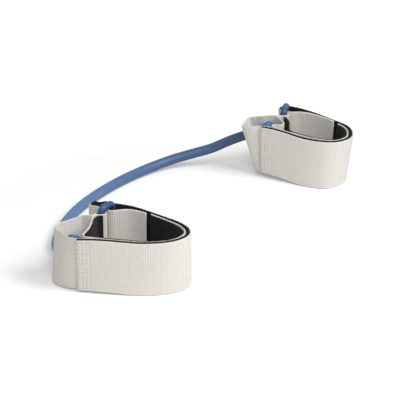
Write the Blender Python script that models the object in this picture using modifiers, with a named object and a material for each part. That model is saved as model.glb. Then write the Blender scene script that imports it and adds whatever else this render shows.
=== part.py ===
"""Lateral resistance trainer: two ribbed webbing ankle cuffs joined by one rubber tube.

Both cuffs stand on edge on the floor. Each has an outer strap that runs round the ankle opening,
through the slot of a moulded ring and back over itself, an inner strap that holds the ring and
lines the opening, and a pocket that holds the end of the tube. +X runs from the near cuff to the
far cuff, +Z is up, and the origin is on the floor under the middle of the pair.
"""
import math

import bmesh
import bpy
import numpy as np
from mathutils import Matrix, Vector

MM = 0.001
PART_NAME = "lateral_resistance_trainer"

# Webbing, and the pile or hook lining sewn to its inner face
WEBBING_WIDTH = 50.8 * MM
WEBBING_THICKNESS = 1.5 * MM
LINING_THICKNESS = 1.6 * MM
LINING_MARGIN = 0.9 * MM
LAYER_GAP = 0.3 * MM

# Moulded ring that the straps pass through, standing on the floor and lifting the straps near it
RING_BAR = 7.0 * MM
RING_PITCH = 16.0 * MM
RING_CORNER = 4.0 * MM
RING_HEADROOM = 0.3 * MM
REST_LIFT = 0.12 * MM
LIFT_FLAT = 13.0 * MM
LIFT_REACH = 48.0 * MM
LIFT_SIDE_SHARE = 1.15
LIFT_DEPTH_SHARE = 0.75

# Loop of the inner strap round the ring's near bar, and the seam that closes it
LOOP_SEAM_DISTANCE = 6.6 * MM
LOOP_SEAM_LENGTH = 1.2 * MM

# Outer strap where it crosses the slot, and its closure flap
SLOT_CLEARANCE = 2.6 * MM
FLAP_SPLIT = 0.4 * MM
LINING_SETBACK = 1.2 * MM
LINING_EASE = 0.35 * MM
POCKET_OVERLAP = 15.0 * MM

# Rubber tube, and the eyelets and stoppers that hold its ends
TUBE_DIAMETER = 10.0 * MM
TUBE_FIT = 0.3 * MM
EYELET_WALL = 0.7 * MM
EYELET_FLANGE = 1.5 * MM
EYELET_PLATE = 1.0 * MM
STOPPER_LENGTH = 15.0 * MM
STOPPER_SOCKET = 10.0 * MM
STOPPER_WALL = 0.9 * MM
STOPPER_FLARE = 0.6 * MM
STOPPER_ROUNDING = 2.5 * MM

# Zigzag of thread through the outer strap's sewn end
THREAD_DIAMETER = 0.6 * MM
STITCH_PITCH = 3.4 * MM
STITCH_WIDTH = 8.5 * MM
STITCH_END_MARGIN = 2.6 * MM
STITCH_SIDE_MARGIN = 3.0 * MM

# How finely curves are drawn
LONGEST_STEP = 11.0 * MM
SHARPEST_TURN = math.radians(11.0)
POINTS_PER_SPAN = 24
LINING_ROW_STEP = 1.3 * MM
TURNED_SEGMENTS = 24
TUBE_STEP = 2.0 * TUBE_DIAMETER

# Values that follow from the sizes above
STACK = WEBBING_THICKNESS + LAYER_GAP + LINING_THICKNESS
LINING_OFFSET = WEBBING_THICKNESS / 2 + LAYER_GAP + LINING_THICKNESS / 2
STRAP_LIFT = RING_BAR + LAYER_GAP
SLOT_HEIGHT = LAYER_GAP + WEBBING_WIDTH + RING_HEADROOM
LOOP_RADIUS = RING_BAR / 2 + LAYER_GAP + WEBBING_THICKNESS / 2
LEG_OFFSET = (WEBBING_THICKNESS + LAYER_GAP) / 2
EYELET_BORE = TUBE_DIAMETER / 2 + TUBE_FIT
EYELET_BARREL = EYELET_BORE + EYELET_WALL
EYELET_HOLE = EYELET_BARREL + LAYER_GAP
EYELET_SEAT = WEBBING_THICKNESS / 2 + LAYER_GAP
EYELET_END = EYELET_SEAT + EYELET_PLATE

# Plan points are millimetres in a cuff's own frame: x runs along its front wall, y to its back.
# A point's third and fourth numbers lean the strap, from its upper edge to its lower edge.
# A pair in "flap" or "inner" is a distance along the outer strap and the slack between the layers.
NEAR = {
    "name": "near",
    "place": (-149.55, 3.15),
    "turn": -64.5,
    "ring_bar": (-21.5, 14.8),
    "ring_angle": 62.0,
    "loop_angle": 225.0,
    "lining_start": [(-18.8, 8.9), (-21.5, 8.0), (-23.8, 6.2), (-24.9, 2.6)],
    "lining_join": (-27.1, -3.0),
    "front_and_back": [
        (-35.0, -40.2, 0.0, 3.0), (-24.0, -40.0, 0.0, 2.0), (-8.0, -39.4, 0.0, 0.8),
        (10.0, -38.5), (28.0, -36.9), (43.0, -32.9),
        (54.5, -26.0), (62.0, -16.5), (65.0, -6.0), (63.0, 4.5), (56.5, 14.5), (47.5, 22.8),
        (36.0, 29.6), (22.0, 34.0), (6.0, 36.8), (-8.0, 38.3),
    ],
    "curl": [(-17.0, 40.9), (-23.0, 43.2), (-27.4, 40.7), (-32.2, 43.7), (-36.9, 39.8),
             (-36.6, 33.8), (-31.8, 30.2), (-26.4, 27.6), (-22.2, 24.8)],
    "flap_start": [(-12.2, 20.6), (-5.6, 23.4)],
    "flap": [(197.0, 3.2), (189.0, 1.3), (180.5, 0.6)],
    "pocket": [
        (-41.0, -33.2, -1.0, 1.0), (-47.0, -28.0, -3.0, -1.0), (-53.6, -18.8, -4.5, -4.0),
        (-59.0, -11.5, -2.5, -6.0), (-61.2, -4.2, -0.5, -8.5), (-59.0, 2.2, 2.5, -9.5),
        (-56.0, 3.6, 3.5, -10.0), (-48.7, 6.5, 3.5, -10.0), (-41.4, 9.4, 3.5, -10.0),
        (-39.1, 9.9, 2.8, -8.0), (-34.5, 9.2, 1.0, -3.0), (-31.0, 8.8),
    ],
    "hole_point": 7,
    "hole_height": 0.57,
    "tube_rise": 14.0,
    "stopper_setback": 5.0,
    "divider_bend": (4.3, 35.6),
    "divider": [(-27.2, -8.0), (-28.0, -18.0)],
    "foot": (9.5, 5.5, 88.0),
    "inner": [(14.0, 0.2), (28.0, 0.3), (45.0, 0.8), (70.0, 1.2), (88.0, 1.2), (103.0, 1.5),
              (120.0, 1.5), (135.0, 1.2), (150.0, 0.8), (163.0, 0.6), (176.5, 0.6)],
}
FAR = {
    "name": "far",
    "place": (160.45, 3.15),
    "turn": -83.5,
    "ring_bar": (-23.6, 15.2),
    "ring_angle": 105.0,
    "loop_angle": 245.0,
    "lining_start": [(-20.4, 9.2), (-16.6, 6.0), (-12.2, 1.6), (-8.6, -4.6), (-6.4, -10.6),
                     (-2.6, -15.2)],
    "lining_join": (3.5, -19.6),
    "front_and_back": [
        (-31.0, -24.4, -2.0, 4.7), (-20.0, -24.5, -1.0, 3.2), (-4.0, -24.9, 0.0, 2.0),
        (12.0, -25.8, 0.0, 1.5), (28.0, -25.8, 0.0, 1.5), (42.0, -23.2, -2.0, 2.0),
        (51.5, -16.5, -5.0, 2.0), (56.8, -5.0, -7.0, 2.0), (57.5, 6.0, -7.0, 0.0),
        (53.5, 17.0, -6.0, -2.0), (45.8, 28.0, -4.0, -3.0), (34.5, 35.6, -2.0, -2.0),
        (20.0, 38.4), (6.0, 38.6), (-6.0, 38.2),
    ],
    "curl": [(-17.0, 38.9), (-26.6, 39.6), (-33.8, 36.8), (-36.6, 30.8), (-32.8, 25.0)],
    "flap_start": [(-18.4, 24.0), (-11.0, 27.2)],
    "flap": [(176.0, 1.4), (164.0, 0.7), (150.5, 0.6)],
    "pocket": [
        (-38.0, -22.2, 3.0, 4.6), (-43.5, -23.8, 6.2, 7.2), (-48.8, -24.0, 9.4, 8.8),
        (-53.0, -21.6, 12.4, 8.8), (-54.4, -18.4, 13.0, 7.4), (-55.0, -13.8, 13.0, 7.2),
        (-55.7, -9.0, 13.0, 7.2), (-56.4, -4.2, 13.0, 7.2), (-56.2, -0.2, 12.8, 7.0),
        (-50.8, 1.4, 9.2, 6.6), (-42.4, 2.9, 4.6, 6.0), (-36.0, 6.0, 1.2, 3.0), (-31.4, 7.8),
    ],
    "hole_point": 6,
    "hole_height": 0.70,
    "tube_rise": 14.0,
    "stopper_setback": 10.0,
    "divider_bend": (3.0, 72.0),
    "divider": [(-20.8, 0.7), (-16.8, -2.6), (-13.6, -6.2), (-13.4, -9.4), (-15.0, -11.4),
                (-17.6, -12.2)],
    "foot": (11.0, 1.7, 150.0),
    "inner": [(14.0, 0.2), (24.0, 0.5), (42.0, 3.0), (60.0, 4.2), (78.0, 2.6), (92.0, 1.8),
              (105.0, 1.8), (118.0, 1.4), (129.0, 1.0), (138.0, 0.8), (146.5, 0.7)],
}

# Tube's route between the two pockets, in millimetres of the part's own frame
TUBE_ROUTE = [
    (-154.35, 59.85, 24.5), (-149.35, 66.25, 17.2), (-145.55, 73.15, 10.9), (-141.35, 80.65, 7.0),
    (-135.25, 88.25, 5.4), (-126.75, 95.35, 5.2), (-110.15, 105.05, 5.6), (-84.15, 116.75, 5.8),
    (-48.95, 128.05, 5.6), (-5.45, 135.55, 5.3), (38.45, 137.45, 5.2), (66.95, 134.95, 5.7),
    (87.05, 129.55, 7.3), (105.15, 120.25, 10.4), (120.35, 106.85, 14.5), (132.45, 90.45, 20.2),
    (141.55, 73.55, 29.5),
]

IVORY = (0.70, 0.65, 0.59)
PILE_BLACK = (0.012, 0.012, 0.013)
RING_BLUE = (0.03, 0.10, 0.33)
TUBE_BLUE = (0.09, 0.20, 0.42)
EYELET_BLACK = (0.02, 0.02, 0.025)
THREAD_IVORY = (0.76, 0.70, 0.58)


def make_material(name, colour, roughness, metallic=0.0):
    """A plain surface of one colour."""
    material = bpy.data.materials.new(name)
    material.use_nodes = True
    shader = material.node_tree.nodes["Principled BSDF"]
    shader.inputs["Base Color"].default_value = (*colour, 1.0)
    shader.inputs["Roughness"].default_value = roughness
    shader.inputs["Metallic"].default_value = metallic
    return material


def direction(angle):
    """Unit vector of a plan angle in degrees."""
    radians = math.radians(angle)
    return np.array([math.cos(radians), math.sin(radians)])


def left_of(vectors):
    """Each plan vector turned a quarter turn to its left."""
    return np.stack([-vectors[..., 1], vectors[..., 0]], axis=-1)


def rows_from_mm(points):
    """Plan points in metres, as rows of place and lean."""
    rows = np.zeros((len(points), 4))
    for index, point in enumerate(points):
        rows[index, :len(point)] = np.array(point) * MM
    return rows


def rows_from_plan(points):
    """Rows without lean, from plan points already in metres."""
    return np.hstack([np.array(points), np.zeros((len(points), 2))])


def smooth_rows(rows):
    """A smooth curve through the rows: a Catmull-Rom spline with centripetal spacing."""
    ends = np.vstack([2 * rows[0] - rows[1], rows, 2 * rows[-1] - rows[-2]])
    knots = np.zeros(len(ends))
    for index in range(1, len(ends)):
        knots[index] = knots[index - 1] + math.sqrt(np.linalg.norm(ends[index] - ends[index - 1]))
    dense = []
    for index in range(1, len(ends) - 2):
        p0, p1, p2, p3 = ends[index - 1:index + 3]
        t0, t1, t2, t3 = knots[index - 1:index + 3]
        for t in np.linspace(t1, t2, POINTS_PER_SPAN, endpoint=False):
            a1 = (p0 * (t1 - t) + p1 * (t - t0)) / (t1 - t0)
            a2 = (p1 * (t2 - t) + p2 * (t - t1)) / (t2 - t1)
            a3 = (p2 * (t3 - t) + p3 * (t - t2)) / (t3 - t2)
            b1 = (a1 * (t2 - t) + a2 * (t - t0)) / (t2 - t0)
            b2 = (a2 * (t3 - t) + a3 * (t - t1)) / (t3 - t1)
            dense.append((b1 * (t2 - t) + b2 * (t - t1)) / (t2 - t1))
    dense.append(rows[-1])
    return np.array(dense)


class StrapPath:
    """The line that a strap follows in plan, measured by the distance along it."""

    def __init__(self, rows):
        self.rows = smooth_rows(rows)
        middle = self.rows[:, :2] + self.rows[:, 2:] / 2
        steps = np.diff(middle, axis=0)
        lengths = np.linalg.norm(steps, axis=1)
        headings = np.unwrap(np.arctan2(steps[:, 1], steps[:, 0]))
        turns = np.abs(np.diff(headings, prepend=headings[0]))
        self.distance = np.concatenate([[0.0], np.cumsum(lengths)])
        work = lengths / LONGEST_STEP + turns / SHARPEST_TURN
        self.work = np.concatenate([[0.0], np.cumsum(work)])
        self.middle = middle
        lean = np.linalg.norm(self.rows[:, 2:], axis=1)
        self.height = np.sqrt(WEBBING_WIDTH ** 2 - lean ** 2)

    @property
    def length(self):
        return self.distance[-1]

    def stations(self, start, end):
        """Distances between start and end, closer together where the strap bends."""
        first, last = np.interp([start, end], self.distance, self.work)
        count = max(2, math.ceil(last - first))
        return np.interp(np.linspace(first, last, count + 1), self.work, self.distance)

    def plan(self, distances, offset=0.0, height_share=0.5):
        """Plan points at these distances, moved to the left by the offset."""
        points = self.rows[:, :2] + (1.0 - height_share) * self.rows[:, 2:]
        headings = np.gradient(points, axis=0)
        headings /= np.linalg.norm(headings, axis=1)[:, None]
        shifted = points + offset * left_of(headings)
        columns = [np.interp(distances, self.distance, shifted[:, axis]) for axis in (0, 1)]
        return np.stack(columns, axis=-1)

    def heading(self, distance):
        """Unit vector along the strap at this distance."""
        step = 0.5 * MM
        before, after = self.plan(np.array([distance - step, distance + step]))
        return (after - before) / np.linalg.norm(after - before)

    def height_at(self, distance):
        """Upright height of the strap, which is less than its width where it leans."""
        return np.interp(distance, self.distance, self.height)

    def nearest(self, point):
        """Distance along the strap of the place closest to a plan point."""
        return self.distance[np.argmin(np.linalg.norm(self.middle - point, axis=1))]


def ring_places(cuff):
    """Plan places of the ring's two upright bars: the looped one and the strap's one."""
    looped = np.array(cuff["ring_bar"]) * MM
    return looped, looped + RING_PITCH * direction(cuff["ring_angle"])


def lift_at(cuff, plan_point):
    """How far the ring's lower bar holds a strap's lower edge off the floor."""
    looped, free = ring_places(cuff)
    along, aside = plan_point - (looped + free) / 2
    if along < 0.0:
        along *= LIFT_SIDE_SHARE
    beyond = max(0.0, math.hypot(along, LIFT_DEPTH_SHARE * aside) - LIFT_FLAT)
    share = max(0.0, 1.0 - beyond / LIFT_REACH)
    return REST_LIFT + (STRAP_LIFT - REST_LIFT) * share * share * (3.0 - 2.0 * share)


def layer_row(path, distance, depth):
    """Row of a strap that lies this far inside the outer strap's outer face, with its lean."""
    where = np.array([distance * MM])
    upper = path.plan(where, depth, 1.0)[0]
    lower = path.plan(where, depth, 0.0)[0]
    return np.concatenate([upper, lower - upper])


def outer_strap_path(cuff):
    """Outer face of the outer strap: front, right end, back, curl, slot and flap."""
    wall = StrapPath(rows_from_mm(cuff["front_and_back"] + cuff["curl"]))
    looped, free = ring_places(cuff)
    slot = looped + (LOOP_RADIUS + WEBBING_THICKNESS / 2 + SLOT_CLEARANCE) * direction(cuff["ring_angle"])
    depth = 2 * STACK + LAYER_GAP
    flap = [layer_row(wall, distance, depth + slack * MM) for distance, slack in cuff["flap"]]
    rows = np.vstack([
        rows_from_mm(cuff["front_and_back"] + cuff["curl"]),
        rows_from_plan([slot]),
        rows_from_mm(cuff["flap_start"]),
        flap,
    ])
    path = StrapPath(rows)
    return path, path.nearest(slot)


def arc(centre, radius, start, end, step=30.0):
    """Plan points round a centre, from one angle in degrees to another."""
    count = max(1, math.ceil(abs(end - start) / step))
    return [centre + radius * direction(angle) for angle in np.linspace(start, end, count + 1)]


def ring_loop(cuff):
    """Pocket wall's seam leg, loop round the ring's bar, and the bend into the divider."""
    looped = ring_places(cuff)[0]
    away = direction(cuff["loop_angle"])
    leg_shift = LEG_OFFSET * left_of(away)
    seam_start = looped + LOOP_SEAM_DISTANCE * away
    seam_end = seam_start + LOOP_SEAM_LENGTH * away
    spread = math.degrees(math.asin((LOOP_RADIUS - LEG_OFFSET) / LOOP_SEAM_DISTANCE))
    first = cuff["loop_angle"] - 90.0 + spread
    last = cuff["loop_angle"] + 90.0 - spread - 360.0
    radius, turn = cuff["divider_bend"]
    bend_start = seam_end + leg_shift
    bend_centre = bend_start + radius * MM * left_of(away)
    bend_angle = cuff["loop_angle"] - 90.0
    return [
        seam_end - leg_shift, seam_start - leg_shift,
        *arc(looped, LOOP_RADIUS, first, last),
        seam_start + leg_shift,
        *arc(bend_centre, radius * MM, bend_angle, bend_angle + turn),
    ]


def foot_bend(cuff, outer, depth):
    """Bend at the foot of the divider, on to the front wall."""
    distance, radius, turn = cuff["foot"]
    end = layer_row(outer, distance, depth)
    end = end[:2] + end[2:] / 2
    heading = outer.heading(distance * MM)
    centre = end + radius * MM * left_of(heading)
    angle = math.degrees(math.atan2(heading[1], heading[0])) - 90.0
    return arc(centre, radius * MM, angle - turn, angle)


def inner_strap_path(cuff, outer):
    """Middle of the pocket wall, the loop round the ring's bar, the divider and the inner strap."""
    depth = STACK + LAYER_GAP + WEBBING_THICKNESS / 2
    pocket_layer = WEBBING_THICKNESS + LAYER_GAP
    overlap = POCKET_OVERLAP / MM
    inner = []
    for distance, slack in cuff["inner"]:
        over_pocket = pocket_layer if distance <= overlap else 0.0
        inner.append(layer_row(outer, distance, depth + over_pocket + slack * MM))
    path = StrapPath(np.vstack([
        [layer_row(outer, share * overlap, depth) for share in (1.0, 0.5, 0.0)],
        rows_from_mm(cuff["pocket"]),
        rows_from_plan(ring_loop(cuff)),
        rows_from_mm(cuff["divider"]),
        rows_from_plan(foot_bend(cuff, outer, depth + pocket_layer)),
        inner,
    ]))
    hole_row = rows_from_mm(cuff["pocket"])[cuff["hole_point"]]
    return path, path.nearest(hole_row[:2] + hole_row[2:] / 2)


def inner_lining_path(cuff, inner):
    """Middle of the inner strap's lining, which hangs loose between the ring and its join."""
    join = inner.nearest(np.array(cuff["lining_join"]) * MM)
    depth = LINING_OFFSET + LINING_EASE
    wanted = np.arange(join, inner.length, LINING_ROW_STEP)
    layer = [layer_row(inner, distance / MM, depth) for distance in wanted]
    return StrapPath(np.vstack([rows_from_mm(cuff["lining_start"]), layer]))


def place_in(cuff_frame, part, collection, origin=None):
    """Parent a piece to its cuff, with its own origin on its joint's axis if it has one."""
    collection.objects.link(part)
    part.parent = cuff_frame
    if origin is not None:
        part.data.transform(Matrix.Translation(-origin))
        part.location = origin


def ribbon(name, cuff, path, span, offset, thickness, margin, rows, material):
    """A strap or lining of even thickness, standing on edge along its path."""
    stations = path.stations(*span)
    columns = len(stations) - 1
    mesh = bmesh.new()
    bmesh.ops.create_grid(mesh, x_segments=columns, y_segments=rows, size=1.0)
    plans = [path.plan(stations, offset, row / rows) for row in range(rows + 1)]
    for vertex in mesh.verts:
        column = round((vertex.co.x + 1.0) / 2.0 * columns)
        row = round((vertex.co.y + 1.0) / 2.0 * rows)
        x, y = plans[row][column]
        middle = path.plan(stations[column:column + 1])[0]
        share = (margin + row / rows * (WEBBING_WIDTH - 2 * margin)) / WEBBING_WIDTH
        vertex.co = (x, y, lift_at(cuff, middle) + share * path.height_at(stations[column]))
    data = bpy.data.meshes.new(name)
    mesh.to_mesh(data)
    mesh.free()
    data.materials.append(material)
    data.shade_smooth()
    data.set_sharp_from_angle(angle=math.radians(40.0))
    part = bpy.data.objects.new(name, data)
    solidify = part.modifiers.new("thickness", "SOLIDIFY")
    solidify.thickness = thickness
    solidify.offset = 0.0
    return part


def turned(name, profile, closed, material):
    """A turned piece about its own Z axis, from radius and height pairs."""
    mesh = bmesh.new()
    corners = [mesh.verts.new((radius, 0.0, height)) for radius, height in profile]
    for start, end in zip(corners, corners[1:]):
        mesh.edges.new((start, end))
    if closed:
        mesh.edges.new((corners[-1], corners[0]))
    data = bpy.data.meshes.new(name)
    mesh.to_mesh(data)
    mesh.free()
    data.materials.append(material)
    part = bpy.data.objects.new(name, data)
    screw = part.modifiers.new("turn", "SCREW")
    screw.steps = TURNED_SEGMENTS
    screw.render_steps = TURNED_SEGMENTS
    screw.use_merge_vertices = True
    screw.merge_threshold = 0.01 * MM
    return part


def tube_curve(name, points, diameter, resolution, cyclic, material):
    """A round bar or tube along a line of points."""
    curve = bpy.data.curves.new(name, "CURVE")
    curve.dimensions = "3D"
    spline = curve.splines.new("POLY")
    spline.points.add(len(points) - 1)
    for target, point in zip(spline.points, points):
        target.co = (*point, 1.0)
    spline.use_cyclic_u = cyclic
    spline.use_smooth = True
    curve.bevel_depth = diameter / 2
    curve.bevel_resolution = resolution
    curve.use_fill_caps = not cyclic
    curve.materials.append(material)
    return bpy.data.objects.new(name, curve)


def ring_outline(angle):
    """Middle line of the ring: a rounded upright rectangle from the looped bar outwards."""
    foot = RING_BAR / 2
    head = foot + SLOT_HEIGHT + RING_BAR
    corners = [
        (RING_CORNER, foot + RING_CORNER, 180.0), (RING_PITCH - RING_CORNER, foot + RING_CORNER, 270.0),
        (RING_PITCH - RING_CORNER, head - RING_CORNER, 0.0), (RING_CORNER, head - RING_CORNER, 90.0),
    ]
    points = []
    for across, height, start in corners:
        centre = np.array([across, height])
        points += arc(centre, RING_CORNER, start, start + 90.0, step=18.0)
    along = direction(angle)
    return [(along[0] * across, along[1] * across, height) for across, height in points]


def make_ring(cuff, cuff_frame, collection, material):
    """The moulded ring, turning about its looped bar."""
    looped = ring_places(cuff)[0]
    ring = tube_curve(cuff["name"] + "_ring", ring_outline(cuff["ring_angle"]), RING_BAR, 3, True,
                      material)
    collection.objects.link(ring)
    ring.parent = cuff_frame
    ring.location = (looped[0], looped[1], 0.0)


def make_stitching(cuff, outer, material):
    """One zigzag of thread up the sewn end of the outer strap."""
    height = WEBBING_WIDTH - 2 * STITCH_SIDE_MARGIN
    count = round(height / STITCH_PITCH)
    points = []
    for index in range(count + 1):
        distance = STITCH_END_MARGIN + STITCH_WIDTH * (index % 2)
        face = -(LAYER_GAP + THREAD_DIAMETER / 2)
        share = (STITCH_SIDE_MARGIN + height * index / count) / WEBBING_WIDTH
        x, y = outer.plan(np.array([distance]), face, share)[0]
        lift = lift_at(cuff, outer.plan(np.array([distance]))[0])
        points.append((x, y, lift + share * outer.height_at(distance)))
    return tube_curve(cuff["name"] + "_end_stitching", points, THREAD_DIAMETER, 1, False, material)


def strap_point(cuff, path, distance, height_share):
    """Point of a strap's middle layer, this far along it and up its width."""
    where = np.array([distance])
    x, y = path.plan(where, 0.0, height_share)[0]
    lift = lift_at(cuff, path.plan(where)[0])
    return Vector((x, y, lift + height_share * path.height_at(distance)))


def hole_frame(cuff, path, hole):
    """Place and outward direction of the tube's hole in the pocket wall."""
    step = EYELET_HOLE
    upper, lower = (strap_point(cuff, path, hole, share) for share in (1.0, 0.0))
    height = cuff["hole_height"]
    before, after = (strap_point(cuff, path, hole + move, height) for move in (-step, step))
    outward = (upper - lower).cross(after - before).normalized()
    return strap_point(cuff, path, hole, height), outward


def cut_hole(pocket, place, outward, cuff_frame, cutters):
    """Cut the eyelet's hole through the pocket wall."""
    bpy.ops.mesh.primitive_cylinder_add(vertices=TURNED_SEGMENTS, radius=EYELET_HOLE,
                                        depth=6 * WEBBING_THICKNESS)
    cutter = bpy.context.object
    cutter.name = pocket.name + "_hole_cutter"
    for collection in list(cutter.users_collection):
        collection.objects.unlink(cutter)
    cutters.objects.link(cutter)
    cutter.parent = cuff_frame
    cutter.location = place
    cutter.rotation_euler = outward.to_track_quat("Z", "Y").to_euler()
    cutter.hide_render = True
    cutter.display_type = "WIRE"
    cut = pocket.modifiers.new("hole", "BOOLEAN")
    cut.operation = "DIFFERENCE"
    cut.object = cutter


def stopper_frame(cuff, place, outward):
    """Mouth of the stopper and the direction in which it faces, on the tube's bent end."""
    level = outward.cross(Vector((0.0, 0.0, 1.0))).normalized()
    facing = Matrix.Rotation(math.radians(-cuff["tube_rise"]), 3, level) @ outward
    bend = (outward + facing).normalized()
    return place - outward * EYELET_END - bend * cuff["stopper_setback"] * MM, facing


def make_tube_fittings(cuff, place, outward, cuff_frame, collection, materials):
    """Eyelet and washer in the pocket wall, and the stopper on the tube's end."""
    flange = EYELET_BARREL + EYELET_FLANGE
    eyelet = turned(cuff["name"] + "_eyelet", [
        (EYELET_BORE, EYELET_END), (flange, EYELET_END), (flange, EYELET_SEAT),
        (EYELET_BARREL, EYELET_SEAT), (EYELET_BARREL, -EYELET_END), (EYELET_BORE, -EYELET_END),
    ], True, materials["eyelet"])
    washer_bore = EYELET_BARREL + LAYER_GAP
    washer = turned(cuff["name"] + "_eyelet_washer", [
        (washer_bore, -EYELET_SEAT), (flange, -EYELET_SEAT), (flange, -EYELET_END),
        (washer_bore, -EYELET_END),
    ], True, materials["eyelet"])
    front = EYELET_BORE + STOPPER_WALL
    back = front + STOPPER_FLARE
    rounding = [
        (back - STOPPER_ROUNDING + STOPPER_ROUNDING * math.cos(angle),
         STOPPER_ROUNDING - STOPPER_LENGTH - STOPPER_ROUNDING * math.sin(angle))
        for angle in np.linspace(0.0, math.pi / 2, 4)
    ]
    stopper = turned(cuff["name"] + "_tube_stopper", [
        (0.0, -STOPPER_SOCKET), (EYELET_BORE, -STOPPER_SOCKET), (EYELET_BORE, 0.0), (front, 0.0),
        *rounding, (0.0, -STOPPER_LENGTH),
    ], False, materials["stopper"])
    mouth, facing = stopper_frame(cuff, place, outward)
    for part, spot, axis in ((eyelet, place, outward), (washer, place, outward), (stopper, mouth, facing)):
        collection.objects.link(part)
        part.parent = cuff_frame
        part.location = spot
        part.rotation_euler = axis.to_track_quat("Z", "Y").to_euler()


def make_cuff(cuff, collection, cutters, materials):
    """All pieces of one cuff. Returns the tube's points there, from its end to outside."""
    name = cuff["name"]
    cuff_frame = bpy.data.objects.new(name + "_cuff_frame", None)
    collection.objects.link(cuff_frame)
    cuff_frame.location = (cuff["place"][0] * MM, cuff["place"][1] * MM, 0.0)
    cuff_frame.rotation_euler = (0.0, 0.0, math.radians(cuff["turn"]))
    outer, split = outer_strap_path(cuff)
    inner, hole = inner_strap_path(cuff, outer)
    hinge_plan = outer.plan(np.array([split]))[0]
    hinge = Vector((hinge_plan[0], hinge_plan[1], 0.0))
    white_offset = WEBBING_THICKNESS / 2
    black_offset = white_offset + LINING_OFFSET
    lining = inner_lining_path(cuff, inner)
    flap_start = split + FLAP_SPLIT
    strap = (0.0, split)
    strap_lining = (0.0, split - LINING_SETBACK)
    flap = (flap_start, outer.length)
    hook_strip = (flap_start + LINING_SETBACK, outer.length - LINING_MARGIN)
    pieces = [
        ("outer_strap", outer, strap, white_offset, WEBBING_THICKNESS, 0.0, 1, "webbing", None),
        ("outer_lining", outer, strap_lining, black_offset, LINING_THICKNESS, LINING_MARGIN, 1,
         "lining", None),
        ("closure_flap", outer, flap, white_offset, WEBBING_THICKNESS, 0.0, 1, "webbing", hinge),
        ("flap_hook_strip", outer, hook_strip, black_offset, LINING_THICKNESS, LINING_MARGIN, 1,
         "lining", hinge),
        ("inner_strap", inner, (0.0, inner.length), 0.0, WEBBING_THICKNESS, 0.0, 2, "webbing", None),
        ("inner_lining", lining, (0.0, lining.length), 0.0, LINING_THICKNESS, LINING_MARGIN, 1,
         "lining", None),
    ]
    place, outward = hole_frame(cuff, inner, hole)
    for label, path, span, offset, thickness, margin, rows, material, origin in pieces:
        part = ribbon(f"{name}_{label}", cuff, path, span, offset, thickness, margin, rows,
                      materials[material])
        place_in(cuff_frame, part, collection, origin)
        if label == "inner_strap":
            cut_hole(part, place, outward, cuff_frame, cutters)
    make_ring(cuff, cuff_frame, collection, materials["ring"])
    stitching = make_stitching(cuff, outer, materials["thread"])
    collection.objects.link(stitching)
    stitching.parent = cuff_frame
    make_tube_fittings(cuff, place, outward, cuff_frame, collection, materials)
    turn = Matrix.Rotation(math.radians(cuff["turn"]), 4, "Z")
    to_world = Matrix.Translation(cuff_frame.location) @ turn
    mouth, facing = stopper_frame(cuff, place, outward)
    reach = EYELET_END + 2.0 * MM
    tube_points = [mouth - facing * (STOPPER_SOCKET - TUBE_FIT), mouth, place - outward * EYELET_END,
                   place + outward * EYELET_END, place + outward * reach]
    return [to_world @ point for point in tube_points]


def smooth_route(points):
    """The tube's middle line between the eyelets, read every two diameters from a smooth curve."""
    rows = np.zeros((len(points), 4))
    rows[:, :3] = points
    dense = smooth_rows(rows)[:, :3]
    lengths = np.linalg.norm(np.diff(dense, axis=0), axis=1)
    distance = np.concatenate([[0.0], np.cumsum(lengths)])
    count = round(distance[-1] / TUBE_STEP)
    wanted = np.linspace(0.0, distance[-1], count + 1)
    return np.stack([np.interp(wanted, distance, dense[:, axis]) for axis in range(3)], axis=-1)


def make_tube(near_end, far_end, material):
    """The rubber tube, from the near cuff's stopper along the floor to the far cuff's."""
    middle = [Vector(point) * MM for point in TUBE_ROUTE]
    route = smooth_route([*near_end[-2:], *middle, *reversed(far_end[-2:])])
    points = [*near_end[:-2], *route, *reversed(far_end[:-2])]
    return tube_curve("resistance_tube", points, TUBE_DIAMETER, 3, False, material)


def make_part():
    """Clear the scene and model the pair of cuffs and the tube between them."""
    for existing in list(bpy.data.objects):
        bpy.data.objects.remove(existing, do_unlink=True)
    collection = bpy.data.collections.new(PART_NAME)
    cutters = bpy.data.collections.new("cutters")
    bpy.context.scene.collection.children.link(collection)
    bpy.context.scene.collection.children.link(cutters)
    materials = {
        "webbing": make_material("ivory_webbing", IVORY, 0.85),
        "lining": make_material("black_pile", PILE_BLACK, 0.95),
        "ring": make_material("blue_plastic", RING_BLUE, 0.35),
        "tube": make_material("blue_rubber", TUBE_BLUE, 0.45),
        "stopper": make_material("stopper_rubber", TUBE_BLUE, 0.5),
        "eyelet": make_material("black_eyelet", EYELET_BLACK, 0.4),
        "thread": make_material("ivory_thread", THREAD_IVORY, 0.8),
    }
    near_end = make_cuff(NEAR, collection, cutters, materials)
    far_end = make_cuff(FAR, collection, cutters, materials)
    collection.objects.link(make_tube(near_end, far_end, materials["tube"]))


make_part()
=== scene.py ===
"""Looks of the lateral resistance trainer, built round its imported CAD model."""
import math

import bmesh
import bpy
import numpy as np
from mathutils import Matrix, Vector


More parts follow.
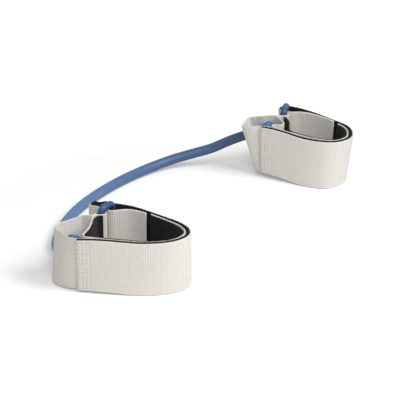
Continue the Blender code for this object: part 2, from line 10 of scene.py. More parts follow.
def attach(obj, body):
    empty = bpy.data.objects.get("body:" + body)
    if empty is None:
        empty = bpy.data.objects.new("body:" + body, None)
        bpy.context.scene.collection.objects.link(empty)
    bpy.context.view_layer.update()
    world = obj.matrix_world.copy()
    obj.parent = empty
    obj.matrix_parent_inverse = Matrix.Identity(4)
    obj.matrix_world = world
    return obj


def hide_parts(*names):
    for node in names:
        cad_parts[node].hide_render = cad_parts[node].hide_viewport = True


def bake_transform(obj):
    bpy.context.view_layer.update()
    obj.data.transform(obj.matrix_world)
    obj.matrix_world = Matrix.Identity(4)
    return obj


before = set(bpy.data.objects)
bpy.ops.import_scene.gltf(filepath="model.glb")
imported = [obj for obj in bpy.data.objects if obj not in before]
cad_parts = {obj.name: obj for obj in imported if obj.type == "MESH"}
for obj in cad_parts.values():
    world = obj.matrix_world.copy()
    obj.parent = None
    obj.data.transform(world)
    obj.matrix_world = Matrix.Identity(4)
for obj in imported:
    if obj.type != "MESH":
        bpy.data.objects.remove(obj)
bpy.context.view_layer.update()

MM = 0.001
POINTS_PER_SPAN = 24
LINING_ROW_STEP = 1.3 * MM
HEADING_STEP = 0.5 * MM

# Webbing, and the pile or hook lining sewn to its inner face
WEBBING_WIDTH = 50.8 * MM
WEBBING_THICKNESS = 1.5 * MM
LINING_THICKNESS = 1.6 * MM
LINING_MARGIN = 0.9 * MM
LAYER_GAP = 0.3 * MM

# Moulded ring that the straps pass through, standing on the floor and lifting the straps near it
RING_BAR = 7.0 * MM
RING_PITCH = 16.0 * MM
RING_CORNER = 4.0 * MM
RING_HEADROOM = 0.3 * MM
REST_LIFT = 0.12 * MM
LIFT_FLAT = 13.0 * MM
LIFT_REACH = 48.0 * MM
LIFT_SIDE_SHARE = 1.15
LIFT_DEPTH_SHARE = 0.75

# Loop of the inner strap round the ring's near bar, and the seam that closes it
LOOP_SEAM_DISTANCE = 6.6 * MM
LOOP_SEAM_LENGTH = 1.2 * MM

# Outer strap where it crosses the slot, and its closure flap
SLOT_CLEARANCE = 2.6 * MM
FLAP_SPLIT = 0.4 * MM
LINING_SETBACK = 1.2 * MM
LINING_EASE = 0.35 * MM
POCKET_OVERLAP = 15.0 * MM

# Rubber tube, and the eyelets and stoppers that hold its ends
TUBE_DIAMETER = 10.0 * MM
TUBE_FIT = 0.3 * MM
EYELET_WALL = 0.7 * MM
EYELET_FLANGE = 1.5 * MM
EYELET_PLATE = 1.0 * MM
STOPPER_LENGTH = 15.0 * MM
STOPPER_SOCKET = 10.0 * MM
STOPPER_WALL = 0.9 * MM
STOPPER_FLARE = 0.6 * MM
STOPPER_ROUNDING = 2.5 * MM

# Values that follow from the sizes above
STACK = WEBBING_THICKNESS + LAYER_GAP + LINING_THICKNESS
LINING_OFFSET = WEBBING_THICKNESS / 2 + LAYER_GAP + LINING_THICKNESS / 2
STRAP_LIFT = RING_BAR + LAYER_GAP
SLOT_HEIGHT = LAYER_GAP + WEBBING_WIDTH + RING_HEADROOM
LOOP_RADIUS = RING_BAR / 2 + LAYER_GAP + WEBBING_THICKNESS / 2
LEG_OFFSET = (WEBBING_THICKNESS + LAYER_GAP) / 2
EYELET_BORE = TUBE_DIAMETER / 2 + TUBE_FIT
EYELET_BARREL = EYELET_BORE + EYELET_WALL
EYELET_HOLE = EYELET_BARREL + LAYER_GAP
EYELET_SEAT = WEBBING_THICKNESS / 2 + LAYER_GAP
EYELET_END = EYELET_SEAT + EYELET_PLATE

# Plan points are millimetres in a cuff's own frame: x runs along its front wall, y to its back.
# A point's third and fourth numbers lean the strap, from its upper edge to its lower edge.
# A pair in "flap" or "inner" is a distance along the outer strap and the slack between the layers.
# "divider_bend" is a radius and an angle, and "foot" a distance along the strap, a radius and an angle.
NEAR = {
    "name": "near",
    "place": (-149.55, 3.15),
    "turn": -64.5,
    "ring_bar": (-21.5, 14.8),
    "ring_angle": 62.0,
    "loop_angle": 225.0,
    "lining_start": [(-18.8, 8.9), (-21.5, 8.0), (-23.8, 6.2), (-24.9, 2.6)],
    "lining_join": (-27.1, -3.0),
    "front_and_back": [
        (-35.0, -40.2, 0.0, 3.0), (-24.0, -40.0, 0.0, 2.0), (-8.0, -39.4, 0.0, 0.8),
        (10.0, -38.5), (28.0, -36.9), (43.0, -32.9),
        (54.5, -26.0), (62.0, -16.5), (65.0, -6.0), (63.0, 4.5), (56.5, 14.5), (47.5, 22.8),
        (36.0, 29.6), (22.0, 34.0), (6.0, 36.8), (-8.0, 38.3),
    ],
    "curl": [(-17.0, 40.9), (-23.0, 43.2), (-27.4, 40.7), (-32.2, 43.7), (-36.9, 39.8),
             (-36.6, 33.8), (-31.8, 30.2), (-26.4, 27.6), (-22.2, 24.8)],
    "flap_start": [(-12.2, 20.6), (-5.6, 23.4)],
    "flap": [(197.0, 3.2), (189.0, 1.3), (180.5, 0.6)],
    "pocket": [
        (-41.0, -33.2, -1.0, 1.0), (-47.0, -28.0, -3.0, -1.0), (-53.6, -18.8, -4.5, -4.0),
        (-59.0, -11.5, -2.5, -6.0), (-61.2, -4.2, -0.5, -8.5), (-59.0, 2.2, 2.5, -9.5),
        (-56.0, 3.6, 3.5, -10.0), (-48.7, 6.5, 3.5, -10.0), (-41.4, 9.4, 3.5, -10.0),
        (-39.1, 9.9, 2.8, -8.0), (-34.5, 9.2, 1.0, -3.0), (-31.0, 8.8),
    ],
    "hole_point": 7,
    "hole_height": 0.57,
    "tube_rise": 14.0,
    "stopper_setback": 5.0,
    "divider_bend": (4.3, 35.6),
    "divider": [(-27.2, -8.0), (-28.0, -18.0)],
    "foot": (9.5, 5.5, 88.0),
    "inner": [(14.0, 0.2), (28.0, 0.3), (45.0, 0.8), (70.0, 1.2), (88.0, 1.2), (103.0, 1.5),
              (120.0, 1.5), (135.0, 1.2), (150.0, 0.8), (163.0, 0.6), (176.5, 0.6)],
}
FAR = {
    "name": "far",
    "place": (160.45, 3.15),
    "turn": -83.5,
    "ring_bar": (-23.6, 15.2),
    "ring_angle": 105.0,
    "loop_angle": 245.0,
    "lining_start": [(-20.4, 9.2), (-16.6, 6.0), (-12.2, 1.6), (-8.6, -4.6), (-6.4, -10.6),
                     (-2.6, -15.2)],
    "lining_join": (3.5, -19.6),
    "front_and_back": [
        (-31.0, -24.4, -2.0, 4.7), (-20.0, -24.5, -1.0, 3.2), (-4.0, -24.9, 0.0, 2.0),
        (12.0, -25.8, 0.0, 1.5), (28.0, -25.8, 0.0, 1.5), (42.0, -23.2, -2.0, 2.0),
        (51.5, -16.5, -5.0, 2.0), (56.8, -5.0, -7.0, 2.0), (57.5, 6.0, -7.0, 0.0),
        (53.5, 17.0, -6.0, -2.0), (45.8, 28.0, -4.0, -3.0), (34.5, 35.6, -2.0, -2.0),
        (20.0, 38.4), (6.0, 38.6), (-6.0, 38.2),
    ],
    "curl": [(-17.0, 38.9), (-26.6, 39.6), (-33.8, 36.8), (-36.6, 30.8), (-32.8, 25.0)],
    "flap_start": [(-18.4, 24.0), (-11.0, 27.2)],
    "flap": [(176.0, 1.4), (164.0, 0.7), (150.5, 0.6)],
    "pocket": [
        (-38.0, -22.2, 3.0, 4.6), (-43.5, -23.8, 6.2, 7.2), (-48.8, -24.0, 9.4, 8.8),
        (-53.0, -21.6, 12.4, 8.8), (-54.4, -18.4, 13.0, 7.4), (-55.0, -13.8, 13.0, 7.2),
        (-55.7, -9.0, 13.0, 7.2), (-56.4, -4.2, 13.0, 7.2), (-56.2, -0.2, 12.8, 7.0),
        (-50.8, 1.4, 9.2, 6.6), (-42.4, 2.9, 4.6, 6.0), (-36.0, 6.0, 1.2, 3.0), (-31.4, 7.8),
    ],
    "hole_point": 6,
    "hole_height": 0.70,
    "tube_rise": 14.0,
    "stopper_setback": 10.0,
    "divider_bend": (3.0, 72.0),
    "divider": [(-20.8, 0.7), (-16.8, -2.6), (-13.6, -6.2), (-13.4, -9.4), (-15.0, -11.4),
                (-17.6, -12.2)],
    "foot": (11.0, 1.7, 150.0),
    "inner": [(14.0, 0.2), (24.0, 0.5), (42.0, 3.0), (60.0, 4.2), (78.0, 2.6), (92.0, 1.8),
              (105.0, 1.8), (118.0, 1.4), (129.0, 1.0), (138.0, 0.8), (146.5, 0.7)],
}

# Tube's route between the two pockets, in millimetres of the part's own frame
TUBE_ROUTE = [
    (-154.35, 59.85, 24.5), (-149.35, 66.25, 17.2), (-145.55, 73.15, 10.9), (-141.35, 80.65, 7.0),
    (-135.25, 88.25, 5.4), (-126.75, 95.35, 5.2), (-110.15, 105.05, 5.6), (-84.15, 116.75, 5.8),
    (-48.95, 128.05, 5.6), (-5.45, 135.55, 5.3), (38.45, 137.45, 5.2), (66.95, 134.95, 5.7),
    (87.05, 129.55, 7.3), (105.15, 120.25, 10.4), (120.35, 106.85, 14.5), (132.45, 90.45, 20.2),
    (141.55, 73.55, 29.5),
]


def direction(angle):
    """Unit vector of a plan angle in degrees."""
    radians = math.radians(angle)
    return np.array([math.cos(radians), math.sin(radians)])


def left_of(vectors):
    """Each plan vector turned a quarter turn to its left."""
    return np.stack([-vectors[..., 1], vectors[..., 0]], axis=-1)


def unit(vectors):
    """Vectors scaled to a length of 1."""
    return vectors / np.linalg.norm(vectors, axis=-1, keepdims=True)


def smoothstep(share):
    """A share from 0 to 1, eased at both ends."""
    return share * share * (3.0 - 2.0 * share)


def walked_along(points):
    """Distance along a line at each of its points."""
    return np.concatenate([[0.0], np.cumsum(np.linalg.norm(np.diff(points, axis=0), axis=1))])


def rows_at(wanted, known, rows):
    """Rows at the wanted distances, between those at the known ones."""
    return np.stack([np.interp(wanted, known, column) for column in rows.T], axis=-1)


def rows_from_mm(points):
    """Plan points in metres, as rows of place and lean."""
    rows = np.zeros((len(points), 4))
    for index, point in enumerate(points):
        rows[index, :len(point)] = np.array(point) * MM
    return rows


def rows_from_plan(points):
    """Rows without lean, from plan points already in metres."""
    return np.hstack([np.array(points), np.zeros((len(points), 2))])


def smooth_rows(rows):
    """A smooth curve through the rows: a Catmull-Rom spline with centripetal spacing."""
    ends = np.vstack([2 * rows[0] - rows[1], rows, 2 * rows[-1] - rows[-2]])
    knots = np.zeros(len(ends))
    for index in range(1, len(ends)):
        knots[index] = knots[index - 1] + math.sqrt(np.linalg.norm(ends[index] - ends[index - 1]))
    dense = []
    for index in range(1, len(ends) - 2):
        p0, p1, p2, p3 = ends[index - 1:index + 3]
        t0, t1, t2, t3 = knots[index - 1:index + 3]
        for t in np.linspace(t1, t2, POINTS_PER_SPAN, endpoint=False):
            a1 = (p0 * (t1 - t) + p1 * (t - t0)) / (t1 - t0)
            a2 = (p1 * (t2 - t) + p2 * (t - t1)) / (t2 - t1)
            a3 = (p2 * (t3 - t) + p3 * (t - t2)) / (t3 - t2)
            b1 = (a1 * (t2 - t) + a2 * (t - t0)) / (t2 - t0)
            b2 = (a2 * (t3 - t) + a3 * (t - t1)) / (t3 - t1)
            dense.append((b1 * (t2 - t) + b2 * (t - t1)) / (t2 - t1))
    dense.append(rows[-1])
    return np.array(dense)


class StrapPath:
    """The line that a strap follows in plan, measured by the distance along it."""

    def __init__(self, rows):
        self.rows = smooth_rows(rows)
        self.middle = self.rows[:, :2] + self.rows[:, 2:] / 2
        self.distance = walked_along(self.middle)
        lean = np.linalg.norm(self.rows[:, 2:], axis=1)
        self.height = np.sqrt(WEBBING_WIDTH ** 2 - lean ** 2)

    @property
    def length(self):
        return self.distance[-1]

    def plan(self, distances, offset=0.0, height_share=0.5):
        """Plan points at these distances, moved to the left by the offset."""
        points = self.rows[:, :2] + (1.0 - height_share) * self.rows[:, 2:]
        headings = unit(np.gradient(points, axis=0))
        return rows_at(distances, self.distance, points + offset * left_of(headings))

    def heading(self, distance):
        """Unit vector along the strap at this distance."""
        before, after = self.plan(distance + np.array([-HEADING_STEP, HEADING_STEP]))
        return unit(after - before)

    def height_at(self, distance):
        """Upright height of the strap, which is less than its width where it leans."""
        return np.interp(distance, self.distance, self.height)

    def nearest(self, point):
        """Distance along the strap of the place closest to a plan point."""
        return self.distance[np.argmin(np.linalg.norm(self.middle - point, axis=1))]


def ring_places(cuff):
    """Plan places of the ring's two upright bars: the looped one and the strap's one."""
    looped = np.array(cuff["ring_bar"]) * MM
    return looped, looped + RING_PITCH * direction(cuff["ring_angle"])


def lift_at(cuff, plan_point):
    """How far the ring's lower bar holds a strap's lower edge off the floor."""
    looped, free = ring_places(cuff)
    along, aside = plan_point - (looped + free) / 2
    if along < 0.0:
        along *= LIFT_SIDE_SHARE
    beyond = max(0.0, math.hypot(along, LIFT_DEPTH_SHARE * aside) - LIFT_FLAT)
    share = max(0.0, 1.0 - beyond / LIFT_REACH)
    return REST_LIFT + (STRAP_LIFT - REST_LIFT) * smoothstep(share)


def layer_row(path, distance, depth):
    """Row of a strap that lies this far inside the outer strap's outer face, with its lean."""
    where = np.array([distance * MM])
    upper = path.plan(where, depth, 1.0)[0]
    lower = path.plan(where, depth, 0.0)[0]
    return np.concatenate([upper, lower - upper])


def outer_strap_path(cuff):
    """Outer face of the outer strap: front, right end, back, curl, slot and flap."""
    wall = StrapPath(rows_from_mm(cuff["front_and_back"] + cuff["curl"]))
    looped = ring_places(cuff)[0]
    slot_distance = LOOP_RADIUS + WEBBING_THICKNESS / 2 + SLOT_CLEARANCE
    slot = looped + slot_distance * direction(cuff["ring_angle"])
    depth = 2 * STACK + LAYER_GAP
    flap = [layer_row(wall, distance, depth + slack * MM) for distance, slack in cuff["flap"]]
    rows = np.vstack([
        rows_from_mm(cuff["front_and_back"] + cuff["curl"]),
        rows_from_plan([slot]),
        rows_from_mm(cuff["flap_start"]),
        flap,
    ])
    path = StrapPath(rows)
    return path, path.nearest(slot)


def arc(centre, radius, start, end, step=30.0):
    """Plan points round a centre, from one angle in degrees to another."""
    count = max(1, math.ceil(abs(end - start) / step))
    return [centre + radius * direction(angle) for angle in np.linspace(start, end, count + 1)]


def ring_loop(cuff):
    """Pocket wall's seam leg, loop round the ring's bar, and the bend into the divider."""
    looped = ring_places(cuff)[0]
    away = direction(cuff["loop_angle"])
    leg_shift = LEG_OFFSET * left_of(away)
    seam_start = looped + LOOP_SEAM_DISTANCE * away
    seam_end = seam_start + LOOP_SEAM_LENGTH * away
    spread = math.degrees(math.asin((LOOP_RADIUS - LEG_OFFSET) / LOOP_SEAM_DISTANCE))
    first = cuff["loop_angle"] - 90.0 + spread
    last = cuff["loop_angle"] + 90.0 - spread - 360.0
    radius, turn = cuff["divider_bend"]
    bend_start = seam_end + leg_shift
    bend_centre = bend_start + radius * MM * left_of(away)
    bend_angle = cuff["loop_angle"] - 90.0
    return [
        seam_end - leg_shift, seam_start - leg_shift,
        *arc(looped, LOOP_RADIUS, first, last),
        seam_start + leg_shift,
        *arc(bend_centre, radius * MM, bend_angle, bend_angle + turn),
    ]


def foot_bend(cuff, outer, depth):
    """Bend at the foot of the divider, on to the front wall."""
    distance, radius, turn = cuff["foot"]
    end = layer_row(outer, distance, depth)
    end = end[:2] + end[2:] / 2
    heading = outer.heading(distance * MM)
    centre = end + radius * MM * left_of(heading)
    angle = math.degrees(math.atan2(heading[1], heading[0])) - 90.0
    return arc(centre, radius * MM, angle - turn, angle)


def inner_strap_path(cuff, outer):
    """Middle of the pocket wall, the loop round the ring's bar, the divider and the inner strap."""
    depth = STACK + LAYER_GAP + WEBBING_THICKNESS / 2
    pocket_layer = WEBBING_THICKNESS + LAYER_GAP
    overlap = POCKET_OVERLAP / MM
    inner = []
    for distance, slack in cuff["inner"]:
        over_pocket = pocket_layer if distance <= overlap else 0.0
        inner.append(layer_row(outer, distance, depth + over_pocket + slack * MM))
    path = StrapPath(np.vstack([
        [layer_row(outer, share * overlap, depth) for share in (1.0, 0.5, 0.0)],
        rows_from_mm(cuff["pocket"]),
        rows_from_plan(ring_loop(cuff)),
        rows_from_mm(cuff["divider"]),
        rows_from_plan(foot_bend(cuff, outer, depth + pocket_layer)),
        inner,
    ]))
    hole_row = rows_from_mm(cuff["pocket"])[cuff["hole_point"]]
    return path, path.nearest(hole_row[:2] + hole_row[2:] / 2)


def inner_lining_path(cuff, inner):
    """Middle of the inner strap's lining, which hangs loose between the ring and its join."""
    join = inner.nearest(np.array(cuff["lining_join"]) * MM)
    depth = LINING_OFFSET + LINING_EASE
    wanted = np.arange(join, inner.length, LINING_ROW_STEP)
    layer = [layer_row(inner, distance / MM, depth) for distance in wanted]
    return StrapPath(np.vstack([rows_from_mm(cuff["lining_start"]), layer]))


def strap_point(cuff, path, distance, height_share):
    """Point of a strap's middle layer, this far along it and up its width."""
    where = np.array([distance])
    x, y = path.plan(where, 0.0, height_share)[0]
    lift = lift_at(cuff, path.plan(where)[0])
    return Vector((x, y, lift + height_share * path.height_at(distance)))


def hole_frame(cuff, path, hole):
    """Place and outward direction of the tube's hole in the pocket wall."""
    upper, lower = (strap_point(cuff, path, hole, share) for share in (1.0, 0.0))
    height = cuff["hole_height"]
    before, after = (strap_point(cuff, path, hole + move, height) for move in (-EYELET_HOLE, EYELET_HOLE))
    outward = (upper - lower).cross(after - before).normalized()
    return strap_point(cuff, path, hole, height), outward


def stopper_frame(cuff, place, outward):
    """Mouth of the stopper and the direction in which it faces, on the tube's bent end."""
    level = outward.cross(Vector((0.0, 0.0, 1.0))).normalized()
    facing = Matrix.Rotation(math.radians(-cuff["tube_rise"]), 3, level) @ outward
    bend = (outward + facing).normalized()
    return place - outward * EYELET_END - bend * cuff["stopper_setback"] * MM, facing


# Ribbed webbing: its ribs, twisted yarns and rows of mesh up its width
RIB_PITCH = 2.2 * MM
RIB_HEIGHT = 0.16 * MM
RIB_SHARPNESS = 0.6
COLUMNS_PER_RIB = 6
YARN_PITCH = 0.9 * MM
WEBBING_ROWS = np.array([1.6, 3.2, 8.0, 14.0, 20.0, 25.4, 31.0, 37.0, 43.0, 47.6, 49.2]) * MM
SELVEDGE = 2.4 * MM
CUT_END = 0.1 * MM

# Pile linings and the fibres that stand out of them
PILE_STEP = 1.1 * MM
PILE_ROUGHNESS = 0.16 * MM
PILE_PROUD = 0.85 * MM
FIBRE_LENGTH = 0.75 * MM
FIBRE_WIDTH = 0.09 * MM
FIBRE_ROOT = 0.25 * MM

# Fineness of the meshes
CLOTH_STEP = 0.15 * MM
SMOOTHING = 0.45 * MM
EDGE_STEPS = 3
ROUNDING_STEPS = 4
TURNED_SIDES = 64
THREAD_SIDES = 6
RING_SIDES = 32
TUBE_SIDES = 40
TUBE_STEP = 2.0 * MM
NOISE_WAVES = 5
WANDER_LENGTH = 37.0 * MM
SWELL_LENGTH = 11.0 * MM
TINY = 1e-7

# Zigzag at an outer strap's sewn end: columns, the distances between and within them, and needle holes
ZIGZAG_COLUMNS = 3
ZIGZAG_START = 2.4 * MM
ZIGZAG_PITCH = 3.6 * MM
ZIGZAG_WIDTH = 2.0 * MM
ZIGZAG_STEP = 2.3 * MM
ZIGZAG_MARGIN = 3.0 * MM
ZIGZAG_TOP = 2.6 * MM
ZIGZAG_EASE = 0.25 * MM
THREAD_RADIUS = 0.36 * MM
THREAD_SINK = 0.10 * MM
NEEDLE_HOLE = 0.30 * MM
NEEDLE_HOLE_EDGE = 0.62 * MM

# Upright stitches on both sides of the ring loop's seam
SEAM_THREAD_RADIUS = 0.3 * MM
SEAM_PITCH = 3.2 * MM
SEAM_STITCH = 2.4 * MM
SEAM_TOP = 5.0 * MM
SEAM_PROUD = 0.08 * MM

# Moulded edges, seams and grooves
RING_SEAM = 0.10 * MM
RING_FLATS = 0.12 * MM
RING_EASE = 0.05 * MM
EYELET_ROUNDING = 0.35 * MM
FITTING_ROUNDING = 0.3 * MM
STOPPER_EDGE = 0.4 * MM
STOPPER_GROOVE = 0.28 * MM
STOPPER_GROOVES = 5
CUTTER_SIDES = 48
CUTTER_DEPTH = 8.0 * MM

# Unevenness of the tube, the share of its radius left at its two ends, and the seeds of all random draws
TUBE_SWELL = 0.006
TUBE_SWELL_LENGTH = 60.0 * MM
TUBE_END_SHARE = 0.93
TUBE_SEED = 77
CUFF_SEEDS = {"near": 100, "far": 200}

# How far each flap's free end stands above the strap behind it
FLAP_RISE = {"near": 0.0, "far": 1.9 * MM}

# Camera, with angles in degrees and distances in metres
CAMERA_AZIMUTH = -56.5
CAMERA_ELEVATION = 22.0
CAMERA_DISTANCE = 2.4
CAMERA_TARGET = Vector((-0.00145, 0.01535, 0.025))
CAMERA_LENS = 223.2
CAMERA_SENSOR = 36.0

# Studio: the floor seen by the camera glows more between two distances from the part, the surroundings
# have one strength, and soft boxes are by azimuth, elevation, distance, size and power
WHITE = (1.0, 1.0, 1.0, 1.0)
FLOOR_HALF = 8.0
FLOOR_DROP = 0.3 * MM
GLOW_DISTANCES = (0.22, 0.65)
GLOW_STRENGTHS = (0.20, 1.0)
WORLD_LIGHT = 0.30
SOFT_BOXES = [
    ("key", 8.0, 48.0, 1.6, 0.9, 16.8),
    ("front", -57.0, 45.0, 1.7, 1.0, 9.2),
]


def new_material(name, colour, roughness, **settings):
    """A Principled material with its constants set on the shader."""
    material = bpy.data.materials.new(name)
    material.use_nodes = True
    shader = material.node_tree.nodes["Principled BSDF"]
    shader.inputs["Base Color"].default_value = (*colour, 1.0)
    shader.inputs["Roughness"].default_value = roughness
    for key, value in settings.items():
        shader.inputs[key.replace("_", " ")].default_value = value
    return material, material.node_tree, shader


def node(tree, kind, inputs=None, **settings):
    """A node with its settings, its constants and its links."""
    made = tree.nodes.new(kind)
    for key, value in settings.items():
        setattr(made, key, value)
    for key, value in (inputs or {}).items():
        socket = made.inputs[key]
        if isinstance(value, bpy.types.NodeSocket):
            tree.links.new(value, socket)
        elif socket.type == "RGBA":
            socket.default_value = (*value, 1.0)
        else:
            socket.default_value = value
    return made


def maths(tree, operation, first, second=0.0, third=0.0):
    """The result of one Math node."""
    return node(tree, "ShaderNodeMath", {0: first, 1: second, 2: third}, operation=operation).outputs[0]


def noise(tree, vector, scale, detail):
    """Noise from 0 to 1 with features of 1/scale metres."""
    return node(tree, "ShaderNodeTexNoise", {
        "Scale": scale, "Detail": detail, "Roughness": 0.6, "Vector": vector}).outputs["Fac"]


def spread(tree, value, low, high, start=0.0, end=1.0):
    """A value from start to end, mapped to low to high."""
    return node(tree, "ShaderNodeMapRange", {
        "Value": value, "From Min": start, "From Max": end, "To Min": low, "To Max": high}).outputs[0]


def tint(tree, colour, factor):
    """A colour multiplied by a grey factor."""
    grey = node(tree, "ShaderNodeCombineColor", {0: factor, 1: factor, 2: factor}).outputs[0]
    return node(tree, "ShaderNodeMix", {"Factor": 1.0, 6: colour, 7: grey}, data_type="RGBA",
                blend_type="MULTIPLY").outputs[2]


def blend_colours(tree, factor, first, second):
    """Two colours mixed by a factor."""
    return node(tree, "ShaderNodeMix", {"Factor": factor, 6: first, 7: second},
                data_type="RGBA").outputs[2]


def add_bump(tree, shader, height, distance, strength):
    """Surface relief from a height value."""
    bump = node(tree, "ShaderNodeBump", {"Strength": strength, "Distance": distance, "Height": height})
    tree.links.new(bump.outputs["Normal"], shader.inputs["Normal"])


def needle_holes(tree, along, up):
    """1 at the needle holes of the zigzag at a strap's sewn end, 0 elsewhere."""
    found = []
    for side in (0, 1):
        columns = maths(tree, "FLOORED_MODULO", maths(
            tree, "ADD", along, ZIGZAG_PITCH / 2 - ZIGZAG_START - side * ZIGZAG_WIDTH), ZIGZAG_PITCH)
        rows = maths(tree, "FLOORED_MODULO", maths(
            tree, "ADD", up, ZIGZAG_STEP - ZIGZAG_MARGIN - side * ZIGZAG_STEP), 2 * ZIGZAG_STEP)
        across = maths(tree, "POWER", maths(tree, "SUBTRACT", columns, ZIGZAG_PITCH / 2), 2.0)
        upright = maths(tree, "POWER", maths(tree, "SUBTRACT", rows, ZIGZAG_STEP), 2.0)
        apart = maths(tree, "SQRT", maths(tree, "ADD", across, upright))
        found.append(spread(tree, apart, 1.0, 0.0, NEEDLE_HOLE, NEEDLE_HOLE_EDGE))
    inside = maths(tree, "LESS_THAN", along, ZIGZAG_START + ZIGZAG_COLUMNS * ZIGZAG_PITCH)
    return maths(tree, "MULTIPLY", maths(tree, "MAXIMUM", *found), inside)


def webbing_material(name, colour, painted_valley_shade, sewn=False):
    """Ribbed cotton webbing: ribs with twisted yarns, painted shade in the rib valleys and yarn grooves,
    soft colour variation and fuzz.
    """
    material, tree, shader = new_material(name, colour, 0.88, Sheen_Weight=0.12, Sheen_Roughness=0.5,
                                          Specular_IOR_Level=0.25)
    coordinates = node(tree, "ShaderNodeTexCoord")
    place = node(tree, "ShaderNodeSeparateXYZ", {0: coordinates.outputs["UV"]})
    along, up = place.outputs[0], place.outputs[1]
    turn = maths(tree, "MULTIPLY", along, math.pi / RIB_PITCH)
    rib = maths(tree, "POWER", maths(tree, "ABSOLUTE", maths(tree, "COSINE", turn)), RIB_SHARPNESS)
    stagger = maths(tree, "MULTIPLY", maths(tree, "FLOOR", maths(tree, "ADD", maths(
        tree, "DIVIDE", along, RIB_PITCH), 0.5)), 2.4)
    twist = maths(tree, "ADD", maths(tree, "MULTIPLY", up, 2 * math.pi / YARN_PITCH), stagger)
    slant = maths(tree, "ADD", twist, maths(tree, "MULTIPLY", along, 2.2 / MM))
    yarn = maths(tree, "MULTIPLY_ADD", maths(tree, "SINE", slant), 0.5, 0.5)
    fine = noise(tree, coordinates.outputs["Object"], 2600.0, 2.0)
    slub = noise(tree, coordinates.outputs["Object"], 260.0, 3.0)
    broad = noise(tree, coordinates.outputs["Object"], 34.0, 2.0)
    height = maths(tree, "ADD", maths(tree, "MULTIPLY", rib, 0.6), maths(tree, "MULTIPLY", yarn, 0.35))
    height = maths(tree, "ADD", height, maths(tree, "MULTIPLY", fine, 0.35))
    add_bump(tree, shader, height, 0.22 * MM, 0.55)
    # Painted shade: the rib valleys take the darker valley colour.
    base = blend_colours(tree, rib, painted_valley_shade, colour)
    # Painted shade: the yarns' grooves are darkened by up to 7 percent; slub and broad noise add random
    # tone.
    shade = maths(tree, "MULTIPLY", spread(tree, yarn, 0.93, 1.03), spread(tree, slub, 0.93, 1.07))
    shade = maths(tree, "MULTIPLY", shade, spread(tree, broad, 0.95, 1.05))
    if sewn:
        shade = maths(tree, "MULTIPLY", shade, spread(tree, needle_holes(tree, along, up), 1.0, 0.38))
    tree.links.new(tint(tree, base, shade), shader.inputs["Base Color"])
    return material


def pile_material(name, colour, light):
    """Black hook-and-loop pile: dark loops with paler specks and a soft edge."""
    material, tree, shader = new_material(name, colour, 0.95, Sheen_Weight=0.06, Sheen_Roughness=0.6,
                                          Specular_IOR_Level=0.2)
    where = node(tree, "ShaderNodeTexCoord").outputs["Object"]
    loops = node(tree, "ShaderNodeTexVoronoi", {"Scale": 1300.0, "Vector": where})
    fine = noise(tree, where, 2400.0, 3.0)
    broad = noise(tree, where, 120.0, 3.0)
    height = maths(tree, "ADD", loops.outputs["Distance"], fine)
    add_bump(tree, shader, height, 0.4 * MM, 0.9)
    specks = maths(tree, "MULTIPLY", spread(tree, fine, -0.7, 1.5), spread(tree, broad, 0.1, 1.2))
    tree.links.new(blend_colours(tree, specks, colour, light), shader.inputs["Base Color"])
    return material


def plastic_material(name, colour, pale):
    """Moulded plastic: fine orange peel, faint flow marks and rubbed high spots."""
    material, tree, shader = new_material(name, colour, 0.38, Coat_Weight=0.06, Coat_Roughness=0.3)
    where = node(tree, "ShaderNodeTexCoord").outputs["Object"]
    peel = noise(tree, where, 900.0, 2.0)
    flow = noise(tree, where, 90.0, 4.0)
    scuffs = node(tree, "ShaderNodeTexNoise", {"Scale": 300.0, "Detail": 6.0, "Roughness": 0.75,
                                               "Distortion": 1.5, "Vector": where}).outputs["Fac"]
    add_bump(tree, shader, peel, 0.06 * MM, 0.4)
    base = blend_colours(tree, spread(tree, flow, 0.0, 0.45), colour, pale)
    tree.links.new(base, shader.inputs["Base Color"])
    tree.links.new(spread(tree, scuffs, 0.32, 0.52), shader.inputs["Roughness"])
    return material


def rubber_material(name, colour, pale, extruded_with_painted_shade):
    """Latex: paler streaks, talc bloom and a satin skin. An extruded tube also gets painted shade, its
    colour darkening along its length.
    """
    material, tree, shader = new_material(name, colour, 0.42, Subsurface_Weight=0.06,
                                          Subsurface_Radius=(0.002, 0.002, 0.003), Specular_IOR_Level=0.45)
    coordinates = node(tree, "ShaderNodeTexCoord")
    scale = (30.0, 14.0, 1.0) if extruded_with_painted_shade else (8.0, 8.0, 1.0)
    stretch = node(tree, "ShaderNodeMapping", {"Vector": coordinates.outputs["UV"], "Scale": scale})
    streaks = noise(tree, stretch.outputs[0], 1.0, 4.0)
    bloom = noise(tree, coordinates.outputs["Object"], 130.0, 4.0)
    grain = noise(tree, coordinates.outputs["Object"], 1500.0, 2.0)
    add_bump(tree, shader, grain, 0.05 * MM, 0.5)
    base = blend_colours(tree, spread(tree, streaks, -0.35, 1.1), colour, pale)
    base = tint(tree, base, spread(tree, bloom, 0.9, 1.1))
    # Painted shade: the tube's colour darkens to 0.42 between 0.20 m and 0.42 m along it, standing in for
    # light falling off towards the far cuff.
    if extruded_with_painted_shade:
        walked = node(tree, "ShaderNodeSeparateXYZ", {0: coordinates.outputs["UV"]}).outputs[0]
        base = tint(tree, base, spread(tree, walked, 1.0, 0.42, 0.20, 0.42))
    tree.links.new(base, shader.inputs["Base Color"])
    tree.links.new(spread(tree, bloom, 0.36, 0.55), shader.inputs["Roughness"])
    return material


def thread_material(name, colour):
    """Twisted sewing thread, with painted shade in the grooves of its twist."""
    material, tree, shader = new_material(name, colour, 0.7, Sheen_Weight=0.2)
    where = node(tree, "ShaderNodeTexCoord").outputs["Object"]
    twist = node(tree, "ShaderNodeTexWave", {"Scale": 900.0, "Distortion": 2.0, "Vector": where})
    add_bump(tree, shader, twist.outputs["Fac"], 0.1 * MM, 0.6)
    # Painted shade: the thread darkens where its twist's relief is low.
    shade = spread(tree, twist.outputs["Fac"], 0.82, 1.08)
    tree.links.new(tint(tree, colour, shade), shader.inputs["Base Color"])
    return material


